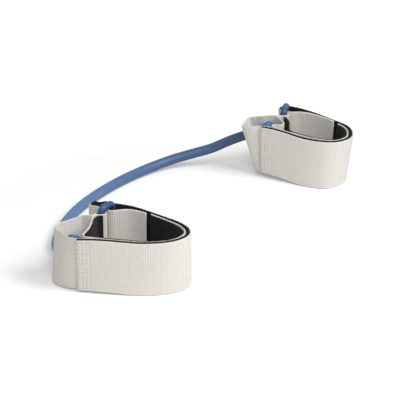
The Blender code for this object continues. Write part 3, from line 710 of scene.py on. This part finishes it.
def to_world(cuff, points):
    """Points of a cuff's own frame, in the row frame."""
    turn = math.radians(cuff["turn"])
    points = np.asarray(points, float)
    x = points[..., 0] * math.cos(turn) - points[..., 1] * math.sin(turn) + cuff["place"][0] * MM
    y = points[..., 0] * math.sin(turn) + points[..., 1] * math.cos(turn) + cuff["place"][1] * MM
    return np.stack([x, y, points[..., 2]], axis=-1)


def add_object(name, data):
    """A new object in the scene."""
    made = bpy.data.objects.new(name, data)
    bpy.context.scene.collection.objects.link(made)
    return made


def bmesh_data(name, shape, **settings):
    """Mesh data with one of bmesh's own shapes."""
    mesh = bmesh.new()
    shape(mesh, **settings)
    data = bpy.data.meshes.new(name)
    mesh.to_mesh(data)
    mesh.free()
    return data


def band_faces(rings, sides, closed=False, first=0):
    """Faces between the rings of points along a bar, from a first point on."""
    faces = []
    for ring in range(rings if closed else rings - 1):
        here, there = first + ring * sides, first + (ring + 1) % rings * sides
        for k in range(sides):
            after = (k + 1) % sides
            faces.append((here + k, here + after, there + after, there + k))
    return faces


def end_faces(rings, sides):
    """The two end faces of a bar."""
    return [tuple(range(sides))[::-1], tuple(range((rings - 1) * sides, rings * sides))]


def circle(radius, angles):
    """Points round a centre. The radius is one number, or one for each angle."""
    return np.stack([radius * np.cos(angles), radius * np.sin(angles)], axis=-1)


def round_angles(sides):
    """The angles of a round bar's sides."""
    return np.linspace(0.0, 2 * math.pi, sides + 1)[:-1]


def axis_frame(place, axis):
    """Matrix of a place whose Z runs along an axis."""
    return Matrix.Translation(place) @ axis.to_track_quat("Z", "Y").to_matrix().to_4x4()


def mesh_object(name, points, faces, material, uvs=None, smooth_angle=50.0):
    """A mesh object from points, faces and a place on the cloth for each point."""
    data = bpy.data.meshes.new(name)
    data.from_pydata([tuple(p) for p in points], [], faces)
    if uvs is not None:
        layer = data.uv_layers.new(name="UVMap")
        corners = np.zeros(len(data.loops), np.int32)
        data.loops.foreach_get("vertex_index", corners)
        layer.data.foreach_set("uv", np.asarray(uvs, np.float32)[corners].ravel())
    data.validate()
    data.materials.append(material)
    data.shade_smooth()
    data.set_sharp_from_angle(angle=math.radians(smooth_angle))
    return add_object(name, data)


def smoothed(values, window):
    """Columns of values smoothed over a window, with their ends kept."""
    weights = np.hanning(2 * window + 3)[1:-1]
    weights /= weights.sum()
    padded = np.concatenate([
        2 * values[0] - values[window:0:-1], values, 2 * values[-1] - values[-2:-window - 2:-1],
    ])
    return np.stack([np.convolve(padded[:, k], weights, "valid") for k in range(values.shape[1])], axis=-1)


class Cloth:
    """A strap's surface: a place for each distance along it, height up it and depth through it."""

    def __init__(self, cuff, path):
        self.cuff = cuff
        self.distance = np.linspace(0.0, path.length, int(path.length / CLOTH_STEP))
        rows = rows_at(self.distance, path.distance, path.rows)
        self.rows = smoothed(rows, int(SMOOTHING / CLOTH_STEP) + 2)
        self.upright = path.height_at(self.distance)
        self.lift = np.array([lift_at(cuff, p) for p in self.rows[:, :2] + self.rows[:, 2:] / 2])

    def at(self, distance, height, depth):
        """Points at arrays of distance, of height up the width, and of depth to the left."""
        distance, height, depth = np.broadcast_arrays(distance, height, depth)
        share = height / WEBBING_WIDTH
        where = np.interp(distance, self.distance, np.arange(len(self.distance)))
        low = np.clip(where.astype(int), 1, len(self.distance) - 3)
        part = (where - low)[..., None]
        rows = self.rows[low] * (1 - part) + self.rows[low + 1] * part
        step = self.rows[low + 2] - self.rows[low - 1]
        lean = (1.0 - share)[..., None]
        plan = rows[..., :2] + lean * rows[..., 2:]
        heading = unit(step[..., :2] + lean * step[..., 2:])
        plan = plan + depth[..., None] * left_of(heading)
        lift = np.interp(distance, self.distance, self.lift)
        tall = np.interp(distance, self.distance, self.upright)
        return np.concatenate([plan, (lift + share * tall)[..., None]], axis=-1)


def edge_profile(low, high, half, rows):
    """Loop of (height, depth) round a strap's section, with rounded edges."""
    radius = half * 0.9
    inner = np.concatenate([[low + radius], rows[(rows > low + radius) & (rows < high - radius)],
                            [high - radius]])
    loop = [(height, -half) for height in inner]
    angles = np.linspace(0.0, math.pi, 2 * EDGE_STEPS + 1)[1:-1]
    loop += [(high - radius + radius * math.sin(a), -half * math.cos(a)) for a in angles]
    loop += [(height, half) for height in inner[::-1]]
    loop += [(low + radius - radius * math.sin(a), half * math.cos(a)) for a in angles]
    return np.array(loop)


def strip(name, cloth, span, offset, thickness, edges, stations, rows, relief, material, taper):
    """A closed strip of cloth. relief gives the extra depth of each face at (distance, height)."""
    profile = edge_profile(*edges, thickness / 2, rows)
    distance = stations[:, None] * np.ones(len(profile))[None, :]
    height = profile[None, :, 0] * np.ones(len(stations))[:, None]
    side = profile[None, :, 1] / (thickness / 2)
    ends = np.clip(np.minimum(distance - span[0], span[1] - distance) / taper, 0.0, 1.0)
    full = np.sqrt(1.0 - (1.0 - ends) ** 2 * 0.75)
    depth = offset + side * (thickness / 2 * full + relief(distance, height))
    points = cloth.at(distance, height, depth)
    size = len(stations), len(profile)
    faces = band_faces(*size) + end_faces(*size)
    uvs = np.stack([distance, height], axis=-1).reshape(-1, 2)
    made = mesh_object(name, to_world(cloth.cuff, points).reshape(-1, 3), faces, material, uvs)
    outward_faces(made)
    return made


def outward_faces(made):
    """Turn a closed mesh's faces outwards."""
    mesh = bmesh.new()
    mesh.from_mesh(made.data)
    bmesh.ops.recalc_face_normals(mesh, faces=mesh.faces)
    mesh.to_mesh(made.data)
    mesh.free()


def wave_noise(seed, scale):
    """A smooth wandering function of one length, between about -1 and 1."""
    random = np.random.default_rng(seed)
    turns = random.uniform(0.4, 1.6, NOISE_WAVES) * 2 * math.pi / scale
    phases = random.uniform(0.0, 2 * math.pi, NOISE_WAVES)
    shares = random.uniform(0.5, 1.0, NOISE_WAVES)
    shares /= shares.sum()
    return lambda x: sum(a * np.sin(t * x + p) for a, t, p in zip(shares, turns, phases))


def webbing_strip(name, cloth, span, offset, seed, material):
    """Ribbed webbing with rounded selvedges and cut ends."""
    step = RIB_PITCH / COLUMNS_PER_RIB
    stations = np.arange(math.ceil(span[0] / step) + 1, math.floor(span[1] / step)) * step
    inside = (stations > span[0] + 2 * CUT_END) & (stations < span[1] - 2 * CUT_END)
    stations = np.concatenate([
        [span[0], span[0] + CUT_END], stations[inside], [span[1] - CUT_END, span[1]],
    ])
    wander = wave_noise(seed, WANDER_LENGTH)
    swell = wave_noise(seed + 1, SWELL_LENGTH)

    def relief(distance, height):
        rib = np.abs(np.cos(math.pi * distance / RIB_PITCH)) ** RIB_SHARPNESS - 0.62
        near_edge = np.clip(np.minimum(height, WEBBING_WIDTH - height) / SELVEDGE, 0.0, 1.0)
        uneven = 1.0 + 0.25 * wander(distance + 3 * height) + 0.2 * swell(distance - height)
        return RIB_HEIGHT * rib * (0.35 + 0.65 * near_edge) * uneven

    return strip(name, cloth, span, offset, WEBBING_THICKNESS, (0.0, WEBBING_WIDTH), stations, WEBBING_ROWS,
                 relief, material, 0.5 * MM)


def pile_strip(name, cloth, span, offset, top, seed, material):
    """Pile lining: a soft strip with a rough face and edges, up to a height on the strap."""
    count = int((span[1] - span[0]) / PILE_STEP)
    stations = np.linspace(*span, count + 1)
    rows = np.arange(LINING_MARGIN + 1.5 * MM, top - MM, PILE_STEP)
    random = np.random.default_rng(seed)

    def relief(distance, height):
        return PILE_ROUGHNESS * random.uniform(-1.0, 0.7, distance.shape)

    return strip(name, cloth, span, offset, LINING_THICKNESS, (LINING_MARGIN, top), stations, rows, relief,
                 material, 0.7 * MM)


def fibre_tufts(name, cloth, span, offset, top_edge, count, seed, material):
    """Short bent fibres that stand out of the lining's edges and faces."""
    random = np.random.default_rng(seed)
    distance = random.uniform(*span, count)
    top = random.random(count) < 0.55
    height = np.where(top, top_edge - random.uniform(0.0, 0.4, count) * MM,
                      random.uniform(LINING_MARGIN + MM, top_edge, count))
    side = np.where(random.random(count) < 0.5, -1.0, 1.0)
    inside = side * LINING_THICKNESS / 2 * np.where(top, random.uniform(0.0, 0.9, count), 0.85)
    root = cloth.at(distance, height, offset + inside)
    outer = cloth.at(distance, height, offset + inside + side * 0.2 * MM)
    normal = unit(outer - root)
    along = cloth.at(distance + 0.3 * MM, height, offset + inside) - root
    along /= np.linalg.norm(along, axis=1)[:, None] + 1e-12
    grow = np.where(top[:, None], np.array([0.0, 0.0, 1.0]) + 0.5 * normal, normal)
    grow = unit(grow + random.normal(0.0, 0.35, (count, 3)))
    reach = FIBRE_LENGTH * random.uniform(0.35, 1.0, count)[:, None] * np.where(top, 1.0, 0.5)[:, None]
    bend = along * random.normal(0.0, 0.4, count)[:, None]
    across = unit(np.cross(grow, along + 0.01))
    third = np.cross(grow, across)
    points = np.empty((count, 7, 3))
    for k in range(3):
        angle = 2 * math.pi * k / 3
        ray = FIBRE_WIDTH * (math.cos(angle) * across + math.sin(angle) * third)
        points[:, k] = root - FIBRE_ROOT * grow + ray
        points[:, 3 + k] = root + reach * (0.55 * grow + 0.2 * bend) + 0.7 * ray
    points[:, 6] = root + reach * (0.9 * grow + 0.8 * bend)
    faces = []
    for index in range(count):
        base = 7 * index
        faces.append((base + 2, base + 1, base))
        for k in range(3):
            after = (k + 1) % 3
            faces.append((base + k, base + after, base + 3 + after, base + 3 + k))
            faces.append((base + 3 + k, base + 3 + after, base + 6))
    return mesh_object(name, to_world(cloth.cuff, points).reshape(-1, 3), faces, material)


def capsule(start, end, radius):
    """Points and faces of one stitch between two points, with rounded ends."""
    sides = THREAD_SIDES
    axis = unit(end - start)
    across = unit(np.cross(axis, [0.3, 0.2, 1.0]))
    third = np.cross(axis, across)
    points = [start - 0.6 * radius * axis]
    for place, size in ((start, 0.7), (start + 0.5 * radius * axis, 1.0), (end - 0.5 * radius * axis, 1.0),
                        (end, 0.7)):
        for a, b in circle(radius * size, round_angles(sides)):
            points.append(place + a * across + b * third)
    points.append(end + 0.6 * radius * axis)
    last = len(points) - 1
    faces = [(0, 1 + (k + 1) % sides, 1 + k) for k in range(sides)]
    faces += band_faces(4, sides, first=1)
    faces += [(last, last - sides + k, last - sides + (k + 1) % sides) for k in range(sides)]
    return points, faces


def stitches(name, cloth, runs, radius, material):
    """Stitches along runs of (distance, height, depth) ends on a strap."""
    points, faces = [], []
    for start, end in runs:
        ends = to_world(cloth.cuff, cloth.at(*(np.array(v) for v in zip(start, end))))
        new_points, new_faces = capsule(ends[0], ends[1], radius)
        base = len(points)
        points += new_points
        faces += [tuple(base + k for k in face) for face in new_faces]
    made = mesh_object(name, points, faces, material)
    outward_faces(made)
    return made


def swept(name, line, section, closed, material):
    """A bar along a line: section(index) gives (across, up) offsets in metres at each point."""
    count = len(line)
    tangents = unit(np.roll(line, -1, 0) - np.roll(line, 1, 0) if closed else np.gradient(line, axis=0))
    normal = np.cross(tangents[0], [0.0, 0.0, 1.0])
    if np.linalg.norm(normal) < 0.1:
        normal = np.cross(tangents[0], [1.0, 0.0, 0.0])
    points, uvs, walked = [], [], 0.0
    for index, tangent in enumerate(tangents):
        normal = unit(normal - normal.dot(tangent) * tangent)
        up = np.cross(tangent, normal)
        offsets = section(index)
        for k, (a, b) in enumerate(offsets):
            points.append(line[index] + a * normal + b * up)
            uvs.append((walked, k / len(offsets)))
        walked += np.linalg.norm(line[(index + 1) % count] - line[index])
    sides = len(points) // count
    faces = band_faces(count, sides, closed)
    if not closed:
        faces += end_faces(count, sides)
    made = mesh_object(name, points, faces, material, uvs)
    outward_faces(made)
    return made


def lathe(name, profile, place, axis, cuff, material):
    """A turned piece on an axis of a cuff's own frame. The profile is a closed loop or ends at the axis."""
    matrix = axis_frame(place, axis)
    points, faces, rings = [], [], []
    for radius, height in profile:
        if radius < TINY:
            rings.append([len(points)])
            points.append(matrix @ Vector((0.0, 0.0, height)))
            continue
        rings.append(list(range(len(points), len(points) + TURNED_SIDES)))
        points += [matrix @ Vector((x, y, height)) for x, y in circle(radius, round_angles(TURNED_SIDES))]
    pairs = list(zip(rings, rings[1:]))
    if len(rings[0]) > 1:
        pairs.append((rings[-1], rings[0]))
    for first, second in pairs:
        for k in range(TURNED_SIDES):
            after = (k + 1) % TURNED_SIDES
            corners = [first[k % len(first)], first[after % len(first)], second[after % len(second)],
                       second[k % len(second)]]
            faces.append(tuple(dict.fromkeys(corners)))
    made = mesh_object(name, to_world(cuff, [tuple(p) for p in points]), faces, material,
                       smooth_angle=35.0)
    outward_faces(made)
    return made


def rounded(profile, radius):
    """A profile with its corners rounded, all but those on the axis."""
    result = []
    count = len(profile)
    for index, corner in enumerate(profile):
        corner = np.array(corner)
        before, after = np.array(profile[index - 1]), np.array(profile[(index + 1) % count])
        if corner[0] < TINY:
            result.append(tuple(corner))
            continue
        a, b = before - corner, after - corner
        cut = min(radius, 0.45 * np.linalg.norm(a), 0.45 * np.linalg.norm(b))
        a, b = corner + unit(a) * cut, corner + unit(b) * cut
        for t in np.linspace(0.0, 1.0, ROUNDING_STEPS + 1):
            result.append(tuple((1 - t) ** 2 * a + 2 * t * (1 - t) * corner + t ** 2 * b))
    return result


MATERIALS = {
    # The second colour of each webbing is painted shade for its rib valleys.
    "webbing": webbing_material("ribbed_ivory_webbing", (0.775, 0.745, 0.70), (0.64, 0.61, 0.565)),
    "sewn_webbing": webbing_material("sewn_ivory_webbing", (0.775, 0.745, 0.70), (0.64, 0.61, 0.565),
                                     sewn=True),
    "pile": pile_material("black_loop_pile", (0.006, 0.006, 0.006), (0.032, 0.031, 0.028)),
    "ring": plastic_material("moulded_blue_plastic", (0.010, 0.046, 0.155), (0.024, 0.088, 0.26)),
    "eyelet": plastic_material("moulded_black_plastic", (0.016, 0.016, 0.018), (0.03, 0.03, 0.033)),
    # The tube's material carries painted shade that darkens it along its length.
    "tube": rubber_material("blue_latex", (0.060, 0.135, 0.30), (0.115, 0.22, 0.43), True),
    "stopper": rubber_material("blue_moulded_rubber", (0.055, 0.13, 0.34), (0.08, 0.18, 0.42), False),
    "thread": thread_material("ivory_thread", (0.90, 0.87, 0.82)),
}


def finish_piece(piece, body, slot, *nodes):
    """Ride on a body and stand for CAD nodes. The slot is not used."""
    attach(piece, body)
    if nodes:
        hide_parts(*nodes)


def dress_ring(cuff):
    """The moulded ring with its parting line."""
    looped = ring_places(cuff)[0]
    along = direction(cuff["ring_angle"])
    foot = RING_BAR / 2
    head = foot + SLOT_HEIGHT + RING_BAR
    corners = [
        (RING_CORNER, foot + RING_CORNER, 180.0), (RING_PITCH - RING_CORNER, foot + RING_CORNER, 270.0),
        (RING_PITCH - RING_CORNER, head - RING_CORNER, 0.0), (RING_CORNER, head - RING_CORNER, 90.0),
    ]
    flat = []
    for across, height, start in corners:
        flat += arc(np.array([across, height]), RING_CORNER, start, start + 90.0, step=7.5)
    flat = np.array(flat)
    dense = []
    for index, point in enumerate(flat):
        after = flat[(index + 1) % len(flat)]
        steps = max(1, int(np.linalg.norm(after - point) / (1.5 * MM)))
        dense += [point + (after - point) * k / steps for k in range(steps)]
    line = np.array([[*(looped + along * across), height] for across, height in dense])
    angles = round_angles(RING_SIDES)
    seam = RING_SEAM * np.exp(-(np.sin(angles) / 0.10) ** 2)
    bar = circle(RING_BAR / 2 - RING_EASE + seam - RING_FLATS * np.sin(2 * angles) ** 2, angles)
    made = swept(cuff["name"] + "_moulded_ring", to_world(cuff, line), lambda index: bar, True,
                 MATERIALS["ring"])
    finish_piece(made, cuff["name"] + "_ring_body", "ring", cuff["name"] + "_ring")


def end_stitch_runs():
    """Three narrow zigzag columns through the outer strap's sewn end."""
    heights = np.arange(ZIGZAG_MARGIN, WEBBING_WIDTH - ZIGZAG_TOP, ZIGZAG_STEP)
    runs = []
    for column in range(ZIGZAG_COLUMNS):
        start = ZIGZAG_START + column * ZIGZAG_PITCH
        for index, (low, high) in enumerate(zip(heights, heights[1:])):
            sides = [start, start + ZIGZAG_WIDTH]
            if index % 2:
                sides.reverse()
            runs.append(((sides[0], low + ZIGZAG_EASE, -THREAD_SINK),
                         (sides[1], high - ZIGZAG_EASE, -THREAD_SINK)))
    return runs


def loop_seam_runs(cuff, inner):
    """Upright stitches on both sides of the seam that closes the loop round the ring."""
    away = direction(cuff["loop_angle"])
    seam = ring_places(cuff)[0] + (LOOP_SEAM_DISTANCE + LOOP_SEAM_LENGTH / 2) * away
    face = WEBBING_THICKNESS / 2 + SEAM_PROUD
    runs = []
    for side in (-1, 1):
        distance = inner.nearest(seam + side * LEG_OFFSET * left_of(away))
        for low in np.arange(ZIGZAG_MARGIN, WEBBING_WIDTH - SEAM_TOP, SEAM_PITCH):
            runs.append(((distance, low, face), (distance, low + SEAM_STITCH, face)))
    return runs


def dress_cuff(cuff):
    """All soft pieces of one cuff, and the fittings in its pocket. Returns the tube's points there."""
    name = cuff["name"]
    seed = CUFF_SEEDS[name]
    body, flap_body = name + "_cuff", name + "_flap_body"
    outer, split = outer_strap_path(cuff)
    inner, hole = inner_strap_path(cuff, outer)
    lining = inner_lining_path(cuff, inner)
    place, outward = hole_frame(cuff, inner, hole)
    outer_cloth, inner_cloth, lining_cloth = (Cloth(cuff, path) for path in (outer, inner, lining))
    share = np.clip((outer_cloth.distance - split) / (outer.length - split), 0.0, 1.0)
    outer_cloth.lift += FLAP_RISE[name] * smoothstep(share)
    white, black = WEBBING_THICKNESS / 2, WEBBING_THICKNESS / 2 + LINING_OFFSET
    flap_start = split + FLAP_SPLIT
    pile, thread = MATERIALS["pile"], MATERIALS["thread"]
    straps = [
        ("outer_webbing", outer_cloth, (0.0, split), white, 0, "sewn_webbing", body, "outer_strap"),
        ("flap_webbing", outer_cloth, (flap_start, outer.length), white, 3, "webbing", flap_body,
         "closure_flap"),
        ("inner_webbing", inner_cloth, (0.0, inner.length), 0.0, 5, "webbing", body, "inner_strap"),
    ]
    for label, cloth, span, offset, turn, look, rides, stands_for in straps:
        made = webbing_strip(f"{name}_{label}", cloth, span, offset, seed + turn, MATERIALS[look])
        if cloth is inner_cloth:
            cut_tube_hole(made, cuff, place, outward)
        finish_piece(made, rides, "webbing", f"{name}_{stands_for}")
    low_top, high_top = WEBBING_WIDTH - LINING_MARGIN / 2, WEBBING_WIDTH + PILE_PROUD
    linings = [
        ("outer_pile", outer_cloth, (0.0, split - LINING_SETBACK), black, high_top, body, "outer_lining",
         5200),
        ("flap_pile", outer_cloth, (flap_start + LINING_SETBACK, outer.length - LINING_MARGIN), black,
         low_top, flap_body, "flap_hook_strip", 900),
        ("inner_pile", lining_cloth, (0.0, lining.length), 0.0, low_top, body, "inner_lining", 3600),
    ]
    for index, (label, cloth, span, offset, top, rides, stands_for, tufts) in enumerate(linings):
        made = pile_strip(f"{name}_{label}", cloth, span, offset, top, seed + 10 + index, pile)
        finish_piece(made, rides, "lining", f"{name}_{stands_for}")
        fuzz = fibre_tufts(f"{name}_{label}_fibres", cloth, span, offset, top, tufts, seed + 20 + index,
                           pile)
        finish_piece(fuzz, rides, "lining")
    sewn = stitches(name + "_sewn_end", outer_cloth, end_stitch_runs(), THREAD_RADIUS, thread)
    finish_piece(sewn, body, "thread", name + "_end_stitching")
    seam = stitches(name + "_loop_seam", inner_cloth, loop_seam_runs(cuff, inner), SEAM_THREAD_RADIUS,
                    thread)
    finish_piece(seam, body, "thread")
    dress_ring(cuff)
    dress_fittings(cuff, place, outward)
    mouth, facing = stopper_frame(cuff, place, outward)
    reach = EYELET_END + 2.0 * MM
    points = [mouth - facing * (STOPPER_SOCKET - TUBE_FIT), mouth, place - outward * EYELET_END,
              place + outward * EYELET_END, place + outward * reach]
    return to_world(cuff, [tuple(p) for p in points])


def cut_tube_hole(pocket, cuff, place, outward):
    """Open the pocket wall where the tube passes through it."""
    turn = Matrix.Rotation(math.radians(cuff["turn"]), 4, "Z")
    shift = Matrix.Translation((cuff["place"][0] * MM, cuff["place"][1] * MM, 0.0))
    cutter = add_object("hole_cutter", bmesh_data(
        "hole_cutter", bmesh.ops.create_cone, cap_ends=True, segments=CUTTER_SIDES, radius1=EYELET_HOLE,
        radius2=EYELET_HOLE, depth=CUTTER_DEPTH, matrix=shift @ turn @ axis_frame(place, outward)))
    cut = pocket.modifiers.new("hole", "BOOLEAN")
    cut.operation, cut.object, cut.solver = "DIFFERENCE", cutter, "EXACT"
    bpy.context.view_layer.update()
    evaluated = pocket.evaluated_get(bpy.context.evaluated_depsgraph_get())
    pocket.data = bpy.data.meshes.new_from_object(evaluated)
    pocket.modifiers.clear()
    bpy.data.objects.remove(cutter)


def dress_fittings(cuff, place, outward):
    """Eyelet, washer and stopper with their moulded edges."""
    name = cuff["name"]
    flange = EYELET_BARREL + EYELET_FLANGE
    eyelet = rounded([
        (EYELET_BORE, EYELET_END), (flange, EYELET_END), (flange, EYELET_SEAT),
        (EYELET_BARREL, EYELET_SEAT), (EYELET_BARREL, -EYELET_END), (EYELET_BORE, -EYELET_END),
    ], EYELET_ROUNDING)
    washer = rounded([(EYELET_HOLE, -EYELET_SEAT), (flange, -EYELET_SEAT), (flange, -EYELET_END),
                      (EYELET_HOLE, -EYELET_END)], FITTING_ROUNDING)
    front = EYELET_BORE + STOPPER_WALL
    back = front + STOPPER_FLARE
    wall = []
    for share in np.linspace(0.06, 0.8, 40):
        groove = STOPPER_GROOVE * max(0.0, math.cos(2 * math.pi * share * STOPPER_GROOVES)) ** 6
        wall.append((front + (back - front) * share - groove, -STOPPER_LENGTH * share))
    end = [(back - STOPPER_ROUNDING + STOPPER_ROUNDING * math.cos(a),
            STOPPER_ROUNDING - STOPPER_LENGTH - STOPPER_ROUNDING * math.sin(a))
           for a in np.linspace(0.0, math.pi / 2, 9)]
    stopper = [(0.0, -STOPPER_SOCKET), (EYELET_BORE - FITTING_ROUNDING, -STOPPER_SOCKET),
               (EYELET_BORE, -STOPPER_SOCKET + FITTING_ROUNDING), (EYELET_BORE, -FITTING_ROUNDING),
               (EYELET_BORE + FITTING_ROUNDING, 0.0), (front - STOPPER_EDGE, 0.0), (front, -STOPPER_EDGE),
               *wall, *end, (0.0, -STOPPER_LENGTH)]
    mouth, facing = stopper_frame(cuff, place, outward)
    fittings = [
        ("eyelet", eyelet, place, outward, "eyelet", "eyelet"),
        ("washer", washer, place, outward, "eyelet", "eyelet_washer"),
        ("stopper", stopper, mouth, facing, "stopper", "tube_stopper"),
    ]
    for label, profile, where, axis, slot, stands_for in fittings:
        made = lathe(f"{name}_moulded_{label}", profile, where, axis, cuff, MATERIALS[slot])
        finish_piece(made, name + "_cuff", slot, f"{name}_{stands_for}")


def dress_tube(near_end, far_end):
    """The rubber tube between the two cuffs, as a mesh swept along its route."""
    middle = np.array(TUBE_ROUTE) * MM
    rows = np.zeros((len(middle) + 4, 4))
    rows[:, :3] = np.vstack([near_end[-2:], middle, far_end[:-3:-1]])
    line = np.vstack([near_end[:-2], smooth_rows(rows)[:, :3], far_end[-3::-1]])
    walked = walked_along(line)
    count = int(walked[-1] / TUBE_STEP)
    wanted = np.linspace(0.0, walked[-1], count + 1)
    line = smoothed(rows_at(wanted, walked, line), 3)
    swell = wave_noise(TUBE_SEED, TUBE_SWELL_LENGTH)

    def section(index):
        end_share = TUBE_END_SHARE if index in (0, count) else 1.0
        radius = TUBE_DIAMETER / 2 * (1.0 + TUBE_SWELL * swell(wanted[index])) * end_share
        return circle(radius, round_angles(TUBE_SIDES))

    tube = swept("rubber_tube", line, section, False, MATERIALS["tube"])
    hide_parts("resistance_tube")
    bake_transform(tube)


def face_target(made, azimuth, elevation, distance, target):
    """Put a camera or a lamp at these angles and distance from a target, facing it."""
    a, e = math.radians(azimuth), math.radians(elevation)
    back = Vector((math.sin(a) * math.cos(e), -math.cos(a) * math.cos(e), math.sin(e)))
    made.location = target + back * distance
    made.rotation_mode = "QUATERNION"
    made.rotation_quaternion = (-back).to_track_quat("-Z", "Y")


def make_camera():
    """The photograph's camera."""
    camera = add_object("camera", bpy.data.cameras.new("camera"))
    camera.data.lens = CAMERA_LENS
    camera.data.sensor_width = CAMERA_SENSOR
    camera.data.clip_end = 50.0
    face_target(camera, CAMERA_AZIMUTH, CAMERA_ELEVATION, CAMERA_DISTANCE, CAMERA_TARGET)
    bpy.context.scene.camera = camera


def area_light(name, azimuth, elevation, distance, size, power):
    """A soft box that looks at the object."""
    light = add_object(name, bpy.data.lights.new(name, "AREA"))
    light.data.shape = "DISK"
    light.data.size = size
    light.data.energy = power
    face_target(light, azimuth, elevation, distance, Vector((0.0, 0.0, 0.0)))


def make_studio():
    """White floor and surroundings, and soft light from the front right and above."""
    floor = add_object("studio_floor", bmesh_data(
        "studio_floor", bmesh.ops.create_grid, x_segments=2, y_segments=2, size=FLOOR_HALF))
    floor.location.z = -FLOOR_DROP
    material, tree, shader = new_material("white_floor", (0.93, 0.93, 0.93), 1.0,
                                          Specular_IOR_Level=0.0, Emission_Color=WHITE)
    seen = node(tree, "ShaderNodeLightPath").outputs["Is Camera Ray"]
    where = node(tree, "ShaderNodeTexCoord").outputs["Object"]
    away = node(tree, "ShaderNodeVectorMath", {0: where}, operation="LENGTH").outputs["Value"]
    glow = spread(tree, away, *GLOW_STRENGTHS, *GLOW_DISTANCES)
    tree.links.new(maths(tree, "MULTIPLY", seen, glow), shader.inputs["Emission Strength"])
    floor.data.materials.append(material)
    world = bpy.data.worlds.new("studio")
    bpy.context.scene.world = world
    world.use_nodes = True
    tree = world.node_tree
    background = tree.nodes["Background"]
    background.inputs["Color"].default_value = WHITE
    rays = node(tree, "ShaderNodeLightPath")
    seen = maths(tree, "MAXIMUM", maths(tree, "MAXIMUM", rays.outputs["Is Camera Ray"],
                                        rays.outputs["Is Glossy Ray"]), rays.outputs["Is Transmission Ray"])
    tree.links.new(spread(tree, seen, WORLD_LIGHT, 1.0), background.inputs["Strength"])
    for soft_box in SOFT_BOXES:
        area_light(*soft_box)
    bpy.context.scene.view_settings.view_transform = "Standard"


make_camera()
make_studio()
near_tube_end = dress_cuff(NEAR)
far_tube_end = dress_cuff(FAR)
dress_tube(near_tube_end, far_tube_end)
